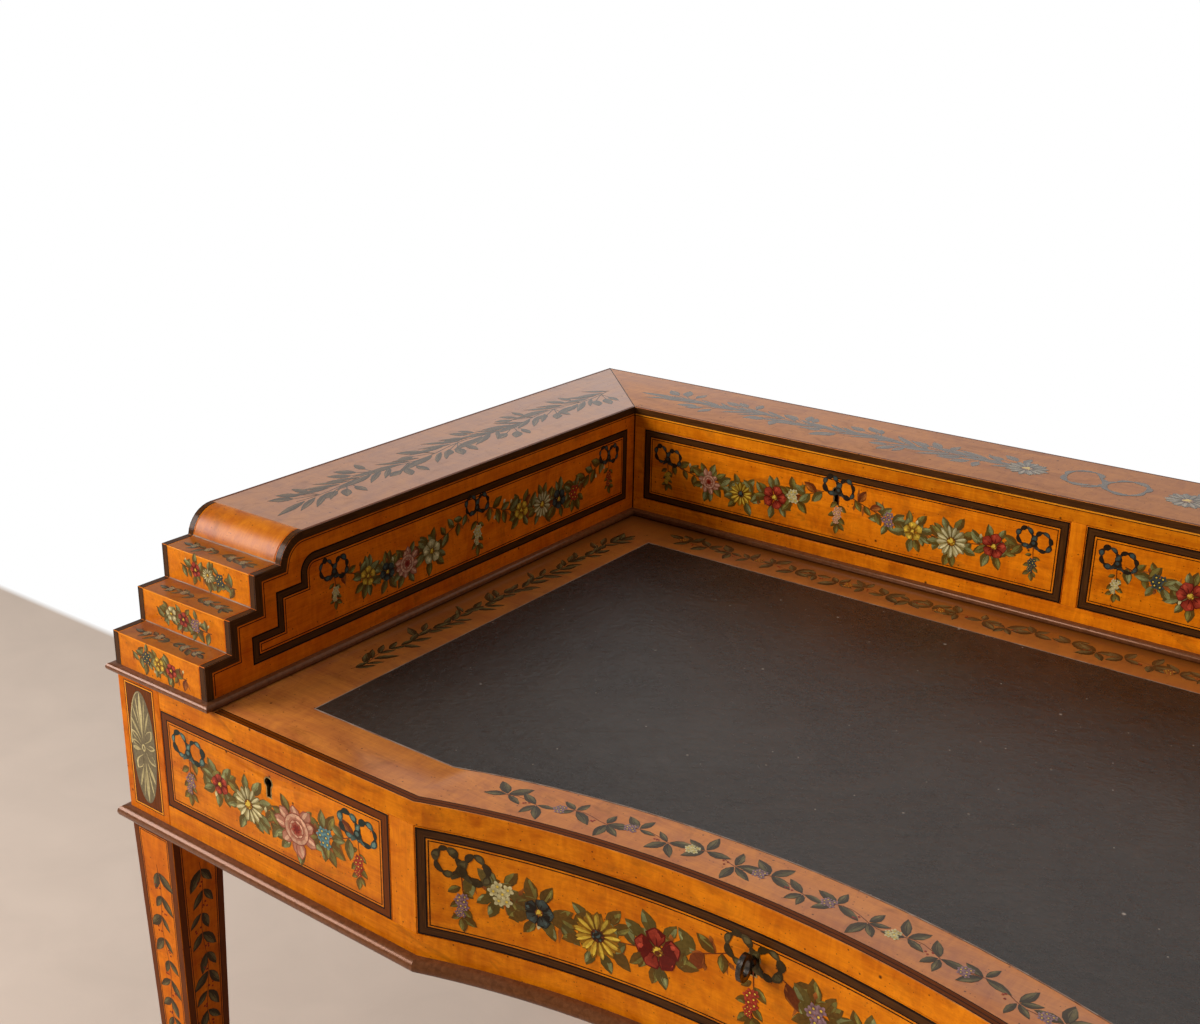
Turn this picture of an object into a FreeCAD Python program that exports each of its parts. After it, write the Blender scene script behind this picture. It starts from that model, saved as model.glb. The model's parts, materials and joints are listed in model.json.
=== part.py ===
import FreeCAD, Part

# A Carlton House desk in painted satinwood: a writing table on square tapered legs, with a recessed front,
# frieze drawers, a leather inset and a low gallery of drawers on three sides whose arms come down in steps.
# Millimetres. +Z is up, the sitter's side faces -Y, and the origin is on the floor under the desk's middle.

import math
import os

V = FreeCAD.Vector

# Overall sizes
desk_width = 1220.0
desk_depth = 725.0
writing_height = 760.0

# Legs: a square block beside the frieze, a taper on all four faces, and a spade foot
leg_block = 55.0
leg_ankle = 31.0
foot_height = 60.0
foot_shoulder = 9.0
foot_top = 42.0
foot_sole = 33.0
tenon_length = 25.0
tenon_thickness = 8.0
tenon_shoulder = 6.0
panel_tenon_shoulder = 16.0

# Frieze
frieze_height = 146.0
panel_thickness = 20.0
bottom_rail_height = 31.5
rail_depth = 90.0
stile_width = 25.0
stile_depth = 25.0
partition_thickness = 18.0
recess_chord = 523.0
recess_depth = 47.0
runner_height = 12.0
runner_width = 20.0
guide_height = 12.0

# Table top and its leather
top_thickness = 20.0
leather_thickness = 1.2
border_front = 56.0
border_side = 66.0
border_back = 64.0

# Mouldings: bullnose strips planted on the faces
lower_moulding_height = 12.0
lower_moulding_reach = 9.0
gallery_moulding_height = 7.0
gallery_moulding_reach = 7.0

# Gallery
gallery_width = 120.0
gallery_board = 8.0
gallery_back_thickness = 10.0
gallery_frame_depth = 20.0
gallery_stile = 14.0
gallery_bottom_rail_height = 20.5
gallery_top_rail_height = 14.0
step_count = 3
step_rise = 31.0
step_run = 29.0
nose_rise = 24.0
nose_radius = 28.0
gallery_runner_width = 12.0
gallery_guide_height = 16.0

# Drawers
drawer_gap = 0.5
seat_gap = 0.3
front_skin = 9.0
gallery_front_skin = 6.0
drawer_side = 9.0
gallery_drawer_side = 7.0
drawer_bottom = 6.0
gallery_drawer_bottom = 4.0
bottom_lift = 9.0
bottom_groove = 4.0
side_drop = 8.0
dovetail_lap = 6.0
dovetail_count = 3
gallery_dovetail_count = 2
dovetail_wide_share = 0.62
dovetail_narrow_share = 0.42
drawer_back_space = 145.0
gallery_drawer_back_space = 12.0
stop_length = 40.0
stop_height = 6.0
stop_thickness = 4.5
stop_place_share = 0.3

# Locks and the key
lock_width = 50.0
lock_foot = 12.0
lock_depth = 9.0
lock_wall = 1.2
key_drop = 22.0
keyhole_radius = 4.2
keyhole_slot = 4.4
keyhole_tail = 13.3
escutcheon_wall = 1.0
escutcheon_depth = 3.0
bolt_width = 22.0
bolt_thickness = 3.6
bolt_gap = 0.3
bolt_throw = 7.0
strike_gap = 1.5
shank_radius = 2.8
shank_gap = 0.08
bit_reach = 8.0
bit_thickness = 2.2
bit_length = 4.0
bit_gap = 0.5
bow_height = 21.0
bow_length = 17.0
bow_thickness = 3.6
bow_rim = 4.2
bow_stand = 6.0
collar_radius = 3.9
collar_length = 2.4

overrun = 5.0
quarter_turn = 90.0

# Places worked out from the sizes above
half_width = desk_width / 2
front_y = -desk_depth / 2
back_y = desk_depth / 2
leg_inner = half_width - leg_block
top_under = writing_height - top_thickness
frieze_bottom = writing_height - frieze_height
opening_bottom = frieze_bottom + bottom_rail_height
recess_half = recess_chord / 2
recess_radius = (recess_half**2 + recess_depth**2) / (2 * recess_depth)
recess_centre_y = front_y + recess_depth - recess_radius
stile_outer = recess_half + stile_width
partition_inner = recess_half + (stile_width - partition_thickness) / 2
partition_outer = partition_inner + partition_thickness
arm_inner = half_width - gallery_width
gallery_front_y = back_y - gallery_width
gallery_height = gallery_moulding_height + step_count * step_rise + nose_rise
gallery_top = writing_height + gallery_height
gallery_under = gallery_top - gallery_board
gallery_opening_bottom = writing_height + gallery_bottom_rail_height
gallery_opening_top = gallery_under - gallery_top_rail_height
gallery_inside_back = back_y - gallery_back_thickness
nose_y = front_y + step_count * step_run
nose_centre_y = nose_y + math.sqrt(nose_radius**2 - (nose_radius - nose_rise) ** 2)
nose_centre_z = gallery_top - nose_radius
front_thickness = lock_depth + front_skin
gallery_front_thickness = lock_depth + gallery_front_skin
drawer_length = desk_depth - panel_thickness - drawer_back_space
gallery_drawer_length = gallery_width - gallery_back_thickness - gallery_drawer_back_space
lock_height = key_drop + bit_reach + lock_foot


def tread_z(step):
    return writing_height + gallery_moulding_height + (step + 1) * step_rise


def riser_y(step):
    return front_y + step * step_run


def box(x0, x1, y0, y1, z0, z1):
    return Part.makeBox(x1 - x0, y1 - y0, z1 - z0, V(x0, y0, z0))


def mirrored(shape):
    return shape.mirror(V(0, 0, 0), V(1, 0, 0))


def line(a, b):
    return Part.makeLine(a, b)


def arc(a, middle, b):
    return Part.Arc(a, middle, b).toShape()


def path(points):
    return [line(a, b) for a, b in zip(points, points[1:])]


def prism(edges, sweep):
    return Part.Face(Part.Wire(edges)).extrude(sweep)


def half_space(point, normal):
    """A block whose one face passes through the point, on the side that the normal points to."""
    reach = 2 * (desk_width + desk_depth + gallery_top)
    block = Part.makeBox(reach, reach, reach, V(-reach / 2, -reach / 2, 0))
    block.Placement = FreeCAD.Placement(point, FreeCAD.Rotation(V(0, 0, 1), normal)).multiply(block.Placement)
    return block


def recess_y(x, offset):
    """How far back the recessed front lies at x, for a curve set that far behind its face."""
    return recess_centre_y + math.sqrt((recess_radius + offset) ** 2 - x**2)


def recess_cutter(offset, z0, z1):
    """A round column that hollows the front, or a curve set that far behind its face."""
    return Part.makeCylinder(recess_radius + offset, z1 - z0, V(0, recess_centre_y, z0))


# Legs


def taper(x, y, side_low, z_low, side_high, z_high):
    """A square block on the line through x and y, whose four flat faces lean in or out evenly."""
    low, high = side_low / 2, side_high / 2
    block = Part.makeWedge(-low, z_low, -low, -high, -high, low, z_high, low, high, high)
    block.rotate(V(0, 0, 0), V(1, 0, 0), quarter_turn)
    block.translate(V(x, y, 0))
    return block


def span(a, b):
    return min(a, b), max(a, b)


def tenon_places(x_side, y_side):
    """The two tenons that enter one leg, for the leg at those signs of x and y."""
    outer = (panel_thickness - tenon_thickness) / 2
    inner = outer + tenon_thickness
    across_x = span((half_width - outer) * x_side, (half_width - inner) * x_side)
    across_y = span((desk_depth / 2 - outer) * y_side, (desk_depth / 2 - inner) * y_side)
    into_x = span(leg_inner * x_side, (leg_inner + tenon_length) * x_side)
    leg_inner_y = desk_depth / 2 - leg_block
    into_y = span(leg_inner_y * y_side, (leg_inner_y + tenon_length) * y_side)
    panel_z = frieze_bottom + panel_tenon_shoulder, top_under - panel_tenon_shoulder
    rail_z = frieze_bottom + tenon_shoulder, opening_bottom - tenon_shoulder
    side_tenon = box(*across_x, *into_y, *panel_z)
    cross_tenon = box(*into_x, *across_y, *(rail_z if y_side < 0 else panel_z))
    return side_tenon, cross_tenon


def make_leg(x_side, y_side):
    x = (half_width - leg_block / 2) * x_side
    y = (desk_depth / 2 - leg_block / 2) * y_side
    ankle_z = foot_height
    leg = taper(x, y, leg_block, frieze_bottom, leg_block, writing_height)
    leg = leg.fuse(taper(x, y, leg_ankle, ankle_z, leg_block, frieze_bottom))
    leg = leg.fuse(taper(x, y, foot_top, foot_height - foot_shoulder, leg_ankle, ankle_z))
    leg = leg.fuse(taper(x, y, foot_sole, 0, foot_top, foot_height - foot_shoulder))
    for tenon in tenon_places(x_side, y_side):
        leg = leg.cut(tenon)
    return leg.removeSplitter()


# Frieze


def make_side_frieze():
    board = box(-half_width, -half_width + panel_thickness, front_y + leg_block, back_y - leg_block,
                frieze_bottom, top_under)
    for y_side in (-1, 1):
        board = board.fuse(tenon_places(-1, y_side)[0])
    return board.removeSplitter()


def make_back_frieze():
    board = box(-leg_inner, leg_inner, back_y - panel_thickness, back_y, frieze_bottom, top_under)
    for x_side in (-1, 1):
        board = board.fuse(tenon_places(x_side, 1)[1])
    return board.removeSplitter()


def make_bottom_rail():
    rail = box(-leg_inner, leg_inner, front_y, front_y + rail_depth, frieze_bottom, opening_bottom)
    rail = rail.cut(recess_cutter(0, frieze_bottom - overrun, opening_bottom + overrun))
    for x_side in (-1, 1):
        rail = rail.fuse(tenon_places(x_side, -1)[1])
    return rail.removeSplitter()


def make_inner_stiles():
    left = box(-stile_outer, -recess_half, front_y, front_y + stile_depth, opening_bottom, top_under)
    return [left, mirrored(left)]


def make_partitions():
    """Boards behind the stiles: over the bottom rail in front, full height behind it."""
    x = -partition_outer
    profile = [V(x, front_y + stile_depth, opening_bottom), V(x, front_y + stile_depth, top_under),
               V(x, back_y - panel_thickness, top_under), V(x, back_y - panel_thickness, frieze_bottom),
               V(x, front_y + rail_depth, frieze_bottom), V(x, front_y + rail_depth, opening_bottom)]
    left = prism(path(profile + profile[:1]), V(partition_thickness, 0, 0))
    return [left, mirrored(left)]


def make_runner(wall, edge):
    """A runner fixed to the wall at x, with a guide out to the edge of the drawer's opening."""
    y0, y1 = front_y + rail_depth, back_y - panel_thickness
    tip = edge + math.copysign(runner_width, edge - wall)
    base = box(min(wall, tip), max(wall, tip), y0, y1, opening_bottom - runner_height, opening_bottom)
    guide = box(min(wall, edge), max(wall, edge), y0, y1, opening_bottom, opening_bottom + guide_height)
    return base.fuse(guide).removeSplitter()


def make_frieze_runners():
    back_leg = box(-half_width, -leg_inner, back_y - leg_block, back_y, frieze_bottom, writing_height)
    outer = make_runner(-half_width + panel_thickness, -leg_inner).cut(back_leg)
    left = [outer, make_runner(-partition_outer, -stile_outer), make_runner(-partition_inner, -recess_half)]
    return left + [mirrored(runner) for runner in left]


# Table top and leather


def leather_block(z0, z1):
    """The writing surface inside its border, hollowed in front like the table."""
    side = arm_inner - border_side
    block = box(-side, side, front_y + border_front, gallery_front_y - border_back, z0, z1)
    return block.cut(recess_cutter(border_front, z0 - overrun, z1 + overrun))


def make_table_top():
    """A board between the four leg blocks, with a bed for the leather and mortises for the frieze locks."""
    top = box(-half_width, half_width, front_y, back_y, top_under, writing_height)
    top = top.cut(recess_cutter(0, top_under - overrun, writing_height + overrun))
    for x0, x1 in ((-half_width, -leg_inner), (leg_inner, half_width)):
        for y0, y1 in ((front_y, front_y + leg_block), (back_y - leg_block, back_y)):
            top = top.cut(box(x0, x1, y0, y1, top_under, writing_height))
    top = top.cut(leather_block(writing_height - leather_thickness, writing_height + overrun))
    for drawer in frieze_drawers():
        top = top.cut(strike_mortise(drawer, top_under))
    return top


def make_leather():
    return leather_block(writing_height - leather_thickness, writing_height)


# Mouldings


def bullnose(point, normal, height, reach):
    """The section of a planted moulding: flat on the wall, with a half round nose or a shallower one."""
    flat = max(reach - height / 2, 0)
    wall_low, wall_high = point, point + V(0, 0, height)
    nose_low, nose_high = wall_low + normal * flat, wall_high + normal * flat
    nose = point + normal * reach + V(0, 0, height / 2)
    edges = [line(wall_high, wall_low), arc(nose_low, nose, nose_high)]
    if flat > 0:
        edges += [line(wall_low, nose_low), line(nose_high, wall_high)]
    return Part.Face(Part.Wire(Part.__sortEdges__(edges)))


def outward(a, b):
    """The unit normal on the right of the way from a to b."""
    d = (b - a).normalize()
    return V(d.y, -d.x, 0)


def mitre_normal(n0, n1, forward):
    """The normal of the upright mitre plane between two walls, turned to face forward."""
    m = n0 + n1
    t = V(-m.y, m.x, 0).normalize()
    return t if t.dot(forward) > 0 else t * -1


def straight_moulding(a, b, n_before, n_after, height, reach):
    """A mitred length of moulding on the wall from a to b."""
    d = (b - a).normalize()
    n = outward(a, b)
    start = a - d * (reach + overrun)
    strip = bullnose(start, n, height, reach).extrude(d * ((b - a).Length + 2 * (reach + overrun)))
    strip = strip.cut(half_space(a, mitre_normal(n_before, n, d) * -1))
    return strip.cut(half_space(b, mitre_normal(n, n_after, d)))


def moulding_round(corners, height, reach):
    """Mitred lengths round a closed plan whose inside is on the left."""
    count = len(corners)
    normals = [outward(corners[i], corners[(i + 1) % count]) for i in range(count)]
    lengths = []
    for i in range(count):
        lengths.append(straight_moulding(corners[i], corners[(i + 1) % count], normals[i - 1],
                                         normals[(i + 1) % count], height, reach))
    return lengths


def recess_corner_normal():
    """The way that the recessed front faces at its left end."""
    return V(recess_half, recess_centre_y - front_y, 0).normalize()


def make_lower_moulding():
    """The straight lengths, mitred at the four corners and at both ends of the recess."""
    h, reach, z = lower_moulding_height, lower_moulding_reach, frieze_bottom
    front_left, recess_left = V(-half_width, front_y, z), V(-recess_half, front_y, z)
    back_left, back_right = V(-half_width, back_y, z), V(half_width, back_y, z)
    left_normal, front_normal = V(-1, 0, 0), V(0, -1, 0)
    front = straight_moulding(front_left, recess_left, left_normal, recess_corner_normal(), h, reach)
    side = straight_moulding(back_left, front_left, V(0, 1, 0), front_normal, h, reach)
    back = straight_moulding(back_right, back_left, V(1, 0, 0), left_normal, h, reach)
    return [front, mirrored(front), side, mirrored(side), back]


def make_recess_moulding():
    """The curved length that follows the recess, mitred at both its ends."""
    h, reach, z = lower_moulding_height, lower_moulding_reach, frieze_bottom
    centre = V(0, recess_centre_y, z)
    front_normal = V(0, -1, 0)
    swing = math.degrees(math.asin(recess_half / recess_radius) + reach / recess_radius)
    section = bullnose(V(0, front_y + recess_depth, z), front_normal, h, reach)
    section.rotate(centre, V(0, 0, 1), swing)
    curved = section.revolve(centre, V(0, 0, 1), -2 * swing)
    for x_side in (-1, 1):
        n = V(recess_corner_normal().x * -x_side, recess_corner_normal().y, 0)
        mitre = mitre_normal(front_normal, n, V(-x_side, 0, 0))
        curved = curved.cut(half_space(V(recess_half * x_side, front_y, z), mitre * -1))
    return curved


def gallery_plan(z):
    return [V(-half_width, front_y, z), V(-arm_inner, front_y, z), V(-arm_inner, gallery_front_y, z),
            V(arm_inner, gallery_front_y, z), V(arm_inner, front_y, z), V(half_width, front_y, z),
            V(half_width, back_y, z), V(-half_width, back_y, z)]


def make_gallery_moulding():
    return moulding_round(gallery_plan(writing_height), gallery_moulding_height, gallery_moulding_reach)


# Gallery


def nose_edges(x):
    """The round from the top tread up to the gallery's top, as seen from the side."""
    low = V(x, nose_y, tread_z(step_count - 1))
    high = V(x, nose_centre_y, gallery_top)
    start = math.atan2(low.z - nose_centre_z, low.y - nose_centre_y)
    middle = (start + math.pi / 2) / 2
    y, z = nose_radius * math.cos(middle), nose_radius * math.sin(middle)
    return low, arc(low, V(x, nose_centre_y + y, nose_centre_z + z), high), high


def make_arm_side(x, y_back):
    """One stepped side board of an arm, from x inwards."""
    stairs = [V(x, front_y, writing_height)]
    for step in range(step_count):
        stairs.append(V(x, riser_y(step), tread_z(step)))
        stairs.append(V(x, riser_y(step + 1), tread_z(step)))
    low, nose, high = nose_edges(x)
    rest = [high, V(x, nose_centre_y, gallery_under), V(x, y_back, gallery_under)]
    rest += [V(x, y_back, writing_height), V(x, front_y, writing_height)]
    return prism(path(stairs) + [nose] + path(rest), V(gallery_board, 0, 0))


def make_steps():
    """The risers and treads between an arm's two sides."""
    x0, x1 = -half_width + gallery_board, -arm_inner - gallery_board
    pieces = []
    for step in range(step_count):
        low = writing_height if step == 0 else tread_z(step - 1)
        last = step == step_count - 1
        tread_end = nose_centre_y if last else riser_y(step + 1) + gallery_board
        under = tread_z(step) - gallery_board
        pieces.append(box(x0, x1, riser_y(step), riser_y(step) + gallery_board, low, under))
        pieces.append(box(x0, x1, riser_y(step), tread_end, under, tread_z(step)))
    return pieces


def make_nosing():
    x0, x1 = -half_width + gallery_board, -arm_inner - gallery_board
    low, nose, high = nose_edges(x0)
    foot = V(x0, nose_centre_y, low.z)
    return prism([nose] + path([high, foot, low]), V(x1 - x0, 0, 0))


def mitred_top(x0, x1, y0, y1, corners):
    board = box(x0, x1, y0, y1, gallery_under, gallery_top)
    for point, normal in corners:
        board = board.cut(half_space(point, normal))
    return board


def make_arm_top():
    corner = V(-half_width, back_y, 0)
    return mitred_top(-half_width, -arm_inner, nose_centre_y, back_y, [(corner, V(1, 1, 0))])


def make_back_top():
    left, right = V(-half_width, back_y, 0), V(half_width, back_y, 0)
    mitres = [(left, V(-1, -1, 0)), (right, V(1, -1, 0))]
    return mitred_top(-half_width, half_width, gallery_front_y, back_y, mitres)


def make_gallery_back():
    x = half_width - gallery_board
    return box(-x, x, gallery_inside_back, back_y, writing_height, gallery_under)


def make_gallery_rail(z0, z1):
    return box(-arm_inner, arm_inner, gallery_front_y, gallery_front_y + gallery_frame_depth, z0, z1)


def make_gallery_top_rail():
    rail = make_gallery_rail(gallery_opening_top, gallery_under)
    for drawer in gallery_drawers():
        rail = rail.cut(strike_mortise(drawer, gallery_opening_top))
    return rail


def make_gallery_stiles():
    y0, y1 = gallery_front_y, gallery_front_y + gallery_frame_depth
    z0, z1 = gallery_opening_bottom, gallery_opening_top
    end = box(-arm_inner, -arm_inner + gallery_stile, y0, y1, z0, z1)
    middle = box(-gallery_stile / 2, gallery_stile / 2, y0, y1, z0, z1)
    return [end, middle, mirrored(end)]


def make_gallery_partition():
    half = gallery_stile / 2
    y0, y1 = gallery_front_y + gallery_frame_depth, gallery_inside_back
    return box(-half, half, y0, y1, writing_height, gallery_under)


def make_gallery_runners():
    """L-shaped runners beside the arms, with a guide, and plain ones beside the middle partition."""
    y0, y1 = gallery_front_y + gallery_frame_depth, gallery_inside_back
    z0, z1 = writing_height, gallery_opening_bottom
    outer = box(-arm_inner, -arm_inner + gallery_stile + gallery_runner_width, y0, y1, z0, z1)
    guide = box(-arm_inner, -arm_inner + gallery_stile, y0, y1, z1, z1 + gallery_guide_height)
    outer = outer.fuse(guide).removeSplitter()
    middle = box(-gallery_stile / 2 - gallery_runner_width, -gallery_stile / 2, y0, y1, z0, z1)
    return [outer, middle, mirrored(outer), mirrored(middle)]


# Drawers


class Drawer:
    """The places that one drawer's pieces are made from."""

    def __init__(self, name, x0, x1, z0, z1, face_y, curved, front, side, bottom, length, tails):
        self.name = name
        self.x0, self.x1 = x0 + drawer_gap, x1 - drawer_gap
        self.z0, self.z1 = z0 + seat_gap, z1 - drawer_gap
        self.middle = (x0 + x1) / 2
        self.face_y = face_y
        self.curved = curved
        self.front, self.side, self.bottom = front, side, bottom
        self.length = length
        self.tails = tails
        self.opening_z0 = z0
        self.side_top = self.z1 - side_drop
        self.deck = self.z0 + bottom_lift

    def face_at(self, x):
        return recess_y(x, 0) if self.curved else self.face_y

    def inside_at(self, x):
        return recess_y(x, self.front) if self.curved else self.face_y + self.front

    def lock_back(self):
        return self.inside_at(self.middle)

    def key_z(self):
        return self.z1 - key_drop


def frieze_drawers():
    args = (opening_bottom, top_under, front_y)
    sizes = (front_thickness, drawer_side, drawer_bottom, drawer_length, dovetail_count)
    return [Drawer("frieze_left", -leg_inner, -stile_outer, *args, False, *sizes),
            Drawer("frieze_centre", -recess_half, recess_half, *args, True, *sizes),
            Drawer("frieze_right", stile_outer, leg_inner, *args, False, *sizes)]


def gallery_drawers():
    args = (gallery_opening_bottom, gallery_opening_top, gallery_front_y)
    sizes = (gallery_front_thickness, gallery_drawer_side, gallery_drawer_bottom, gallery_drawer_length,
             gallery_dovetail_count)
    inner, outer = gallery_stile / 2, arm_inner - gallery_stile
    return [Drawer("gallery_left", -outer, -inner, *args, False, *sizes),
            Drawer("gallery_right", inner, outer, *args, False, *sizes)]


def front_blank(d):
    if not d.curved:
        return box(d.x0, d.x1, d.face_y, d.face_y + d.front, d.z0, d.z1)
    block = box(d.x0, d.x1, d.face_y, d.face_y + recess_depth + d.front, d.z0, d.z1)
    block = block.common(recess_cutter(d.front, d.z0 - overrun, d.z1 + overrun))
    return block.cut(recess_cutter(0, d.z0 - overrun, d.z1 + overrun))


def dovetails(d, x0, x1):
    """The tails on one side's front end, wider at the tip, stopping short of the face."""
    inner_x = x1 if x0 == d.x0 else x0
    root = d.inside_at(inner_x) + overrun
    tip = max(d.face_at(x0), d.face_at(x1)) + dovetail_lap
    pitch = (d.side_top - d.z0) / d.tails
    tails = []
    for i in range(d.tails):
        z = d.z0 + (i + 1 / 2) * pitch
        wide, narrow = pitch * dovetail_wide_share / 2, pitch * dovetail_narrow_share / 2
        corners = [V(x0, tip, z - wide), V(x0, tip, z + wide)]
        corners += [V(x0, root, z + narrow), V(x0, root, z - narrow)]
        tails.append(prism(path(corners + corners[:1]), V(x1 - x0, 0, 0)))
    return tails


def drawer_sides(d):
    """Each side's blank with its tails: (blank, tails)."""
    places = [(d.x0, d.x0 + d.side), (d.x1 - d.side, d.x1)]
    made = []
    for x0, x1 in places:
        start = min(d.face_at(x0), d.face_at(x1)) + dovetail_lap
        blank = box(x0, x1, start, d.face_y + d.length, d.z0, d.side_top)
        made.append((blank, dovetails(d, x0, x1)))
    return made


def drawer_bottom_board(d):
    """The bottom, let into grooves in the sides and the front and running out under the back."""
    x0, x1 = d.x0 + d.side - bottom_groove, d.x1 - d.side + bottom_groove
    tongue = d.front - bottom_groove
    z0, z1 = d.deck, d.deck + d.bottom
    board = box(x0, x1, d.face_y + tongue, d.face_y + d.length, z0, z1)
    return board.cut(recess_cutter(tongue, z0 - overrun, z1 + overrun)) if d.curved else board


def keyhole(x, z, y0, y1, grow):
    """A keyhole cutter: a round with a slot under it."""
    r = keyhole_radius + grow
    hole = Part.makeCylinder(r, y1 - y0, V(x, y0, z), V(0, 1, 0))
    half_slot = keyhole_slot / 2 + grow
    return hole.fuse(box(x - half_slot, x + half_slot, y0, y1, z - keyhole_tail - grow, z)).removeSplitter()


def lock_block(d, beyond):
    """The lock's block, let into the back of the front, reaching that far beyond it."""
    x0, x1 = d.middle - lock_width / 2, d.middle + lock_width / 2
    return box(x0, x1, d.lock_back() - lock_depth, d.lock_back() + beyond, d.z1 - lock_height, d.z1)


def make_drawer_front(d):
    front = front_blank(d)
    for blank, tails in drawer_sides(d):
        for tail in tails:
            front = front.cut(blank.common(tail))
    front = front.cut(drawer_bottom_board(d))
    front = front.cut(lock_block(d, overrun))
    face = d.face_at(d.middle)
    front = front.cut(keyhole(d.middle, d.key_z(), face - overrun, d.lock_back(), 0))
    return front.cut(keyhole(d.middle, d.key_z(), face - overrun, face + escutcheon_depth, escutcheon_wall))


def make_drawer_box(d):
    """Two sides with their tails and groove, and a back that stands on the bottom."""
    blank_front = front_blank(d)
    pieces = []
    for blank, tails in drawer_sides(d):
        side = blank.cut(blank_front)
        for tail in tails:
            side = side.fuse(blank.common(blank_front).common(tail))
        pieces.append(side.removeSplitter().cut(drawer_bottom_board(d)))
    end = d.face_y + d.length
    pieces.append(box(d.x0 + d.side, d.x1 - d.side, end - d.side, end, d.deck + d.bottom, d.side_top))
    return pieces


def make_stops(drawers):
    """Small blocks on the rails that the backs of the fronts come up against."""
    stops = []
    for d in drawers:
        for x_side in (-1, 1):
            x = d.middle + x_side * stop_place_share * (d.x1 - d.x0)
            near, far = x - stop_length / 2, x + stop_length / 2
            y = max(d.inside_at(near), d.inside_at(far), d.inside_at(x)) + seat_gap
            stops.append(box(near, far, y, y + stop_thickness, d.opening_z0, d.opening_z0 + stop_height))
    return stops


# Locks and the key


def lock_middle_y(d):
    return d.lock_back() - lock_depth / 2


def bolt_block(d, grow, z0, z1):
    half_w, half_t = bolt_width / 2 + grow, bolt_thickness / 2 + grow
    y = lock_middle_y(d)
    return box(d.middle - half_w, d.middle + half_w, y - half_t, y + half_t, z0, z1)


def make_lock_case(d):
    """A thin brass box with a keyhole in its front plate and a slot for the bolt in its top."""
    case = lock_block(d, 0)
    inside = case.BoundBox
    case = case.cut(box(inside.XMin + lock_wall, inside.XMax - lock_wall, inside.YMin + lock_wall,
                        inside.YMax - lock_wall, inside.ZMin + lock_wall, inside.ZMax - lock_wall))
    plate_y = inside.YMin
    hole_r = shank_radius + shank_gap
    case = case.cut(Part.makeCylinder(hole_r, lock_wall + overrun, V(d.middle, plate_y - overrun, d.key_z()),
                                      V(0, 1, 0)))
    slot = bit_thickness / 2 + bit_gap
    case = case.cut(box(d.middle - slot, d.middle + slot, plate_y - overrun, plate_y + lock_wall,
                        d.key_z() - bit_reach - bit_gap, d.key_z()))
    return case.cut(bolt_block(d, bolt_gap, d.z1 - 2 * lock_wall, d.z1 + overrun))


def make_bolt(d):
    return bolt_block(d, 0, d.key_z() + bit_reach + bit_gap, d.z1)


def strike_mortise(d, z):
    """The slot, in the board above the drawer, that the thrown bolt rises into."""
    return bolt_block(d, strike_gap, z - overrun, z + bolt_throw + strike_gap)


def make_escutcheon(d):
    face = d.face_at(d.middle)
    ring = keyhole(d.middle, d.key_z(), face, face + escutcheon_depth, escutcheon_wall)
    return ring.cut(keyhole(d.middle, d.key_z(), face - overrun, face + escutcheon_depth + overrun, 0))


def make_key(d):
    """A steel key: bit inside the lock, shank through the keyhole, collar and an oval bow in front."""
    x, z = d.middle, d.key_z()
    face = d.face_at(x)
    inner_end = d.lock_back() - lock_wall - bit_gap
    shank_start = face - bow_stand
    key = Part.makeCylinder(shank_radius, inner_end - shank_start, V(x, shank_start, z), V(0, 1, 0))
    bit_y = lock_middle_y(d) - bit_length / 2
    half = bit_thickness / 2
    key = key.fuse(box(x - half, x + half, bit_y, bit_y + bit_length, z - bit_reach, z))
    key = key.fuse(Part.makeCylinder(collar_radius, collar_length, V(x, shank_start, z), V(0, 1, 0)))
    bow_y = shank_start - bow_length / 2 + bow_rim / 2
    outer = oval(x - bow_thickness / 2, bow_y, z, bow_height / 2, bow_length / 2)
    inner = oval(x - bow_thickness / 2, bow_y, z, bow_height / 2 - bow_rim, bow_length / 2 - bow_rim)
    bow = outer.cut(inner).extrude(V(bow_thickness, 0, 0))
    return key.fuse(bow).removeSplitter()


def oval(x, y, z, tall, long):
    """A flat oval in the upright plane along the shank."""
    curve = Part.Ellipse(V(x, y, z + tall), V(x, y + long, z), V(x, y, z))
    return Part.Face(Part.Wire(curve.toShape()))


# Writing the pieces


def save(name, shapes):
    solids = shapes if isinstance(shapes, list) else [shapes]
    Part.makeCompound([s for shape in solids for s in shape.Solids]).exportStep("parts/" + name + ".step")


def save_pair(name, shape):
    pieces = shape if isinstance(shape, list) else [shape]
    save(name + "_left", pieces)
    save(name + "_right", [mirrored(piece) for piece in pieces])


def save_carcase():
    for y_side, end in ((-1, "front"), (1, "back")):
        for x_side, hand in ((-1, "left"), (1, "right")):
            save("leg_" + end + "_" + hand, make_leg(x_side, y_side))
    save_pair("side_frieze", make_side_frieze())
    save("back_frieze", make_back_frieze())
    save("front_bottom_rail", make_bottom_rail())
    save("inner_stiles", make_inner_stiles())
    save("drawer_partitions", make_partitions())
    save("frieze_drawer_runners", make_frieze_runners())
    save("drawer_stops", make_stops(frieze_drawers() + gallery_drawers()))
    save("lower_moulding", make_lower_moulding())
    save("recess_moulding", make_recess_moulding())
    save("table_top", make_table_top())
    save("leather_inset", make_leather())


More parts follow.
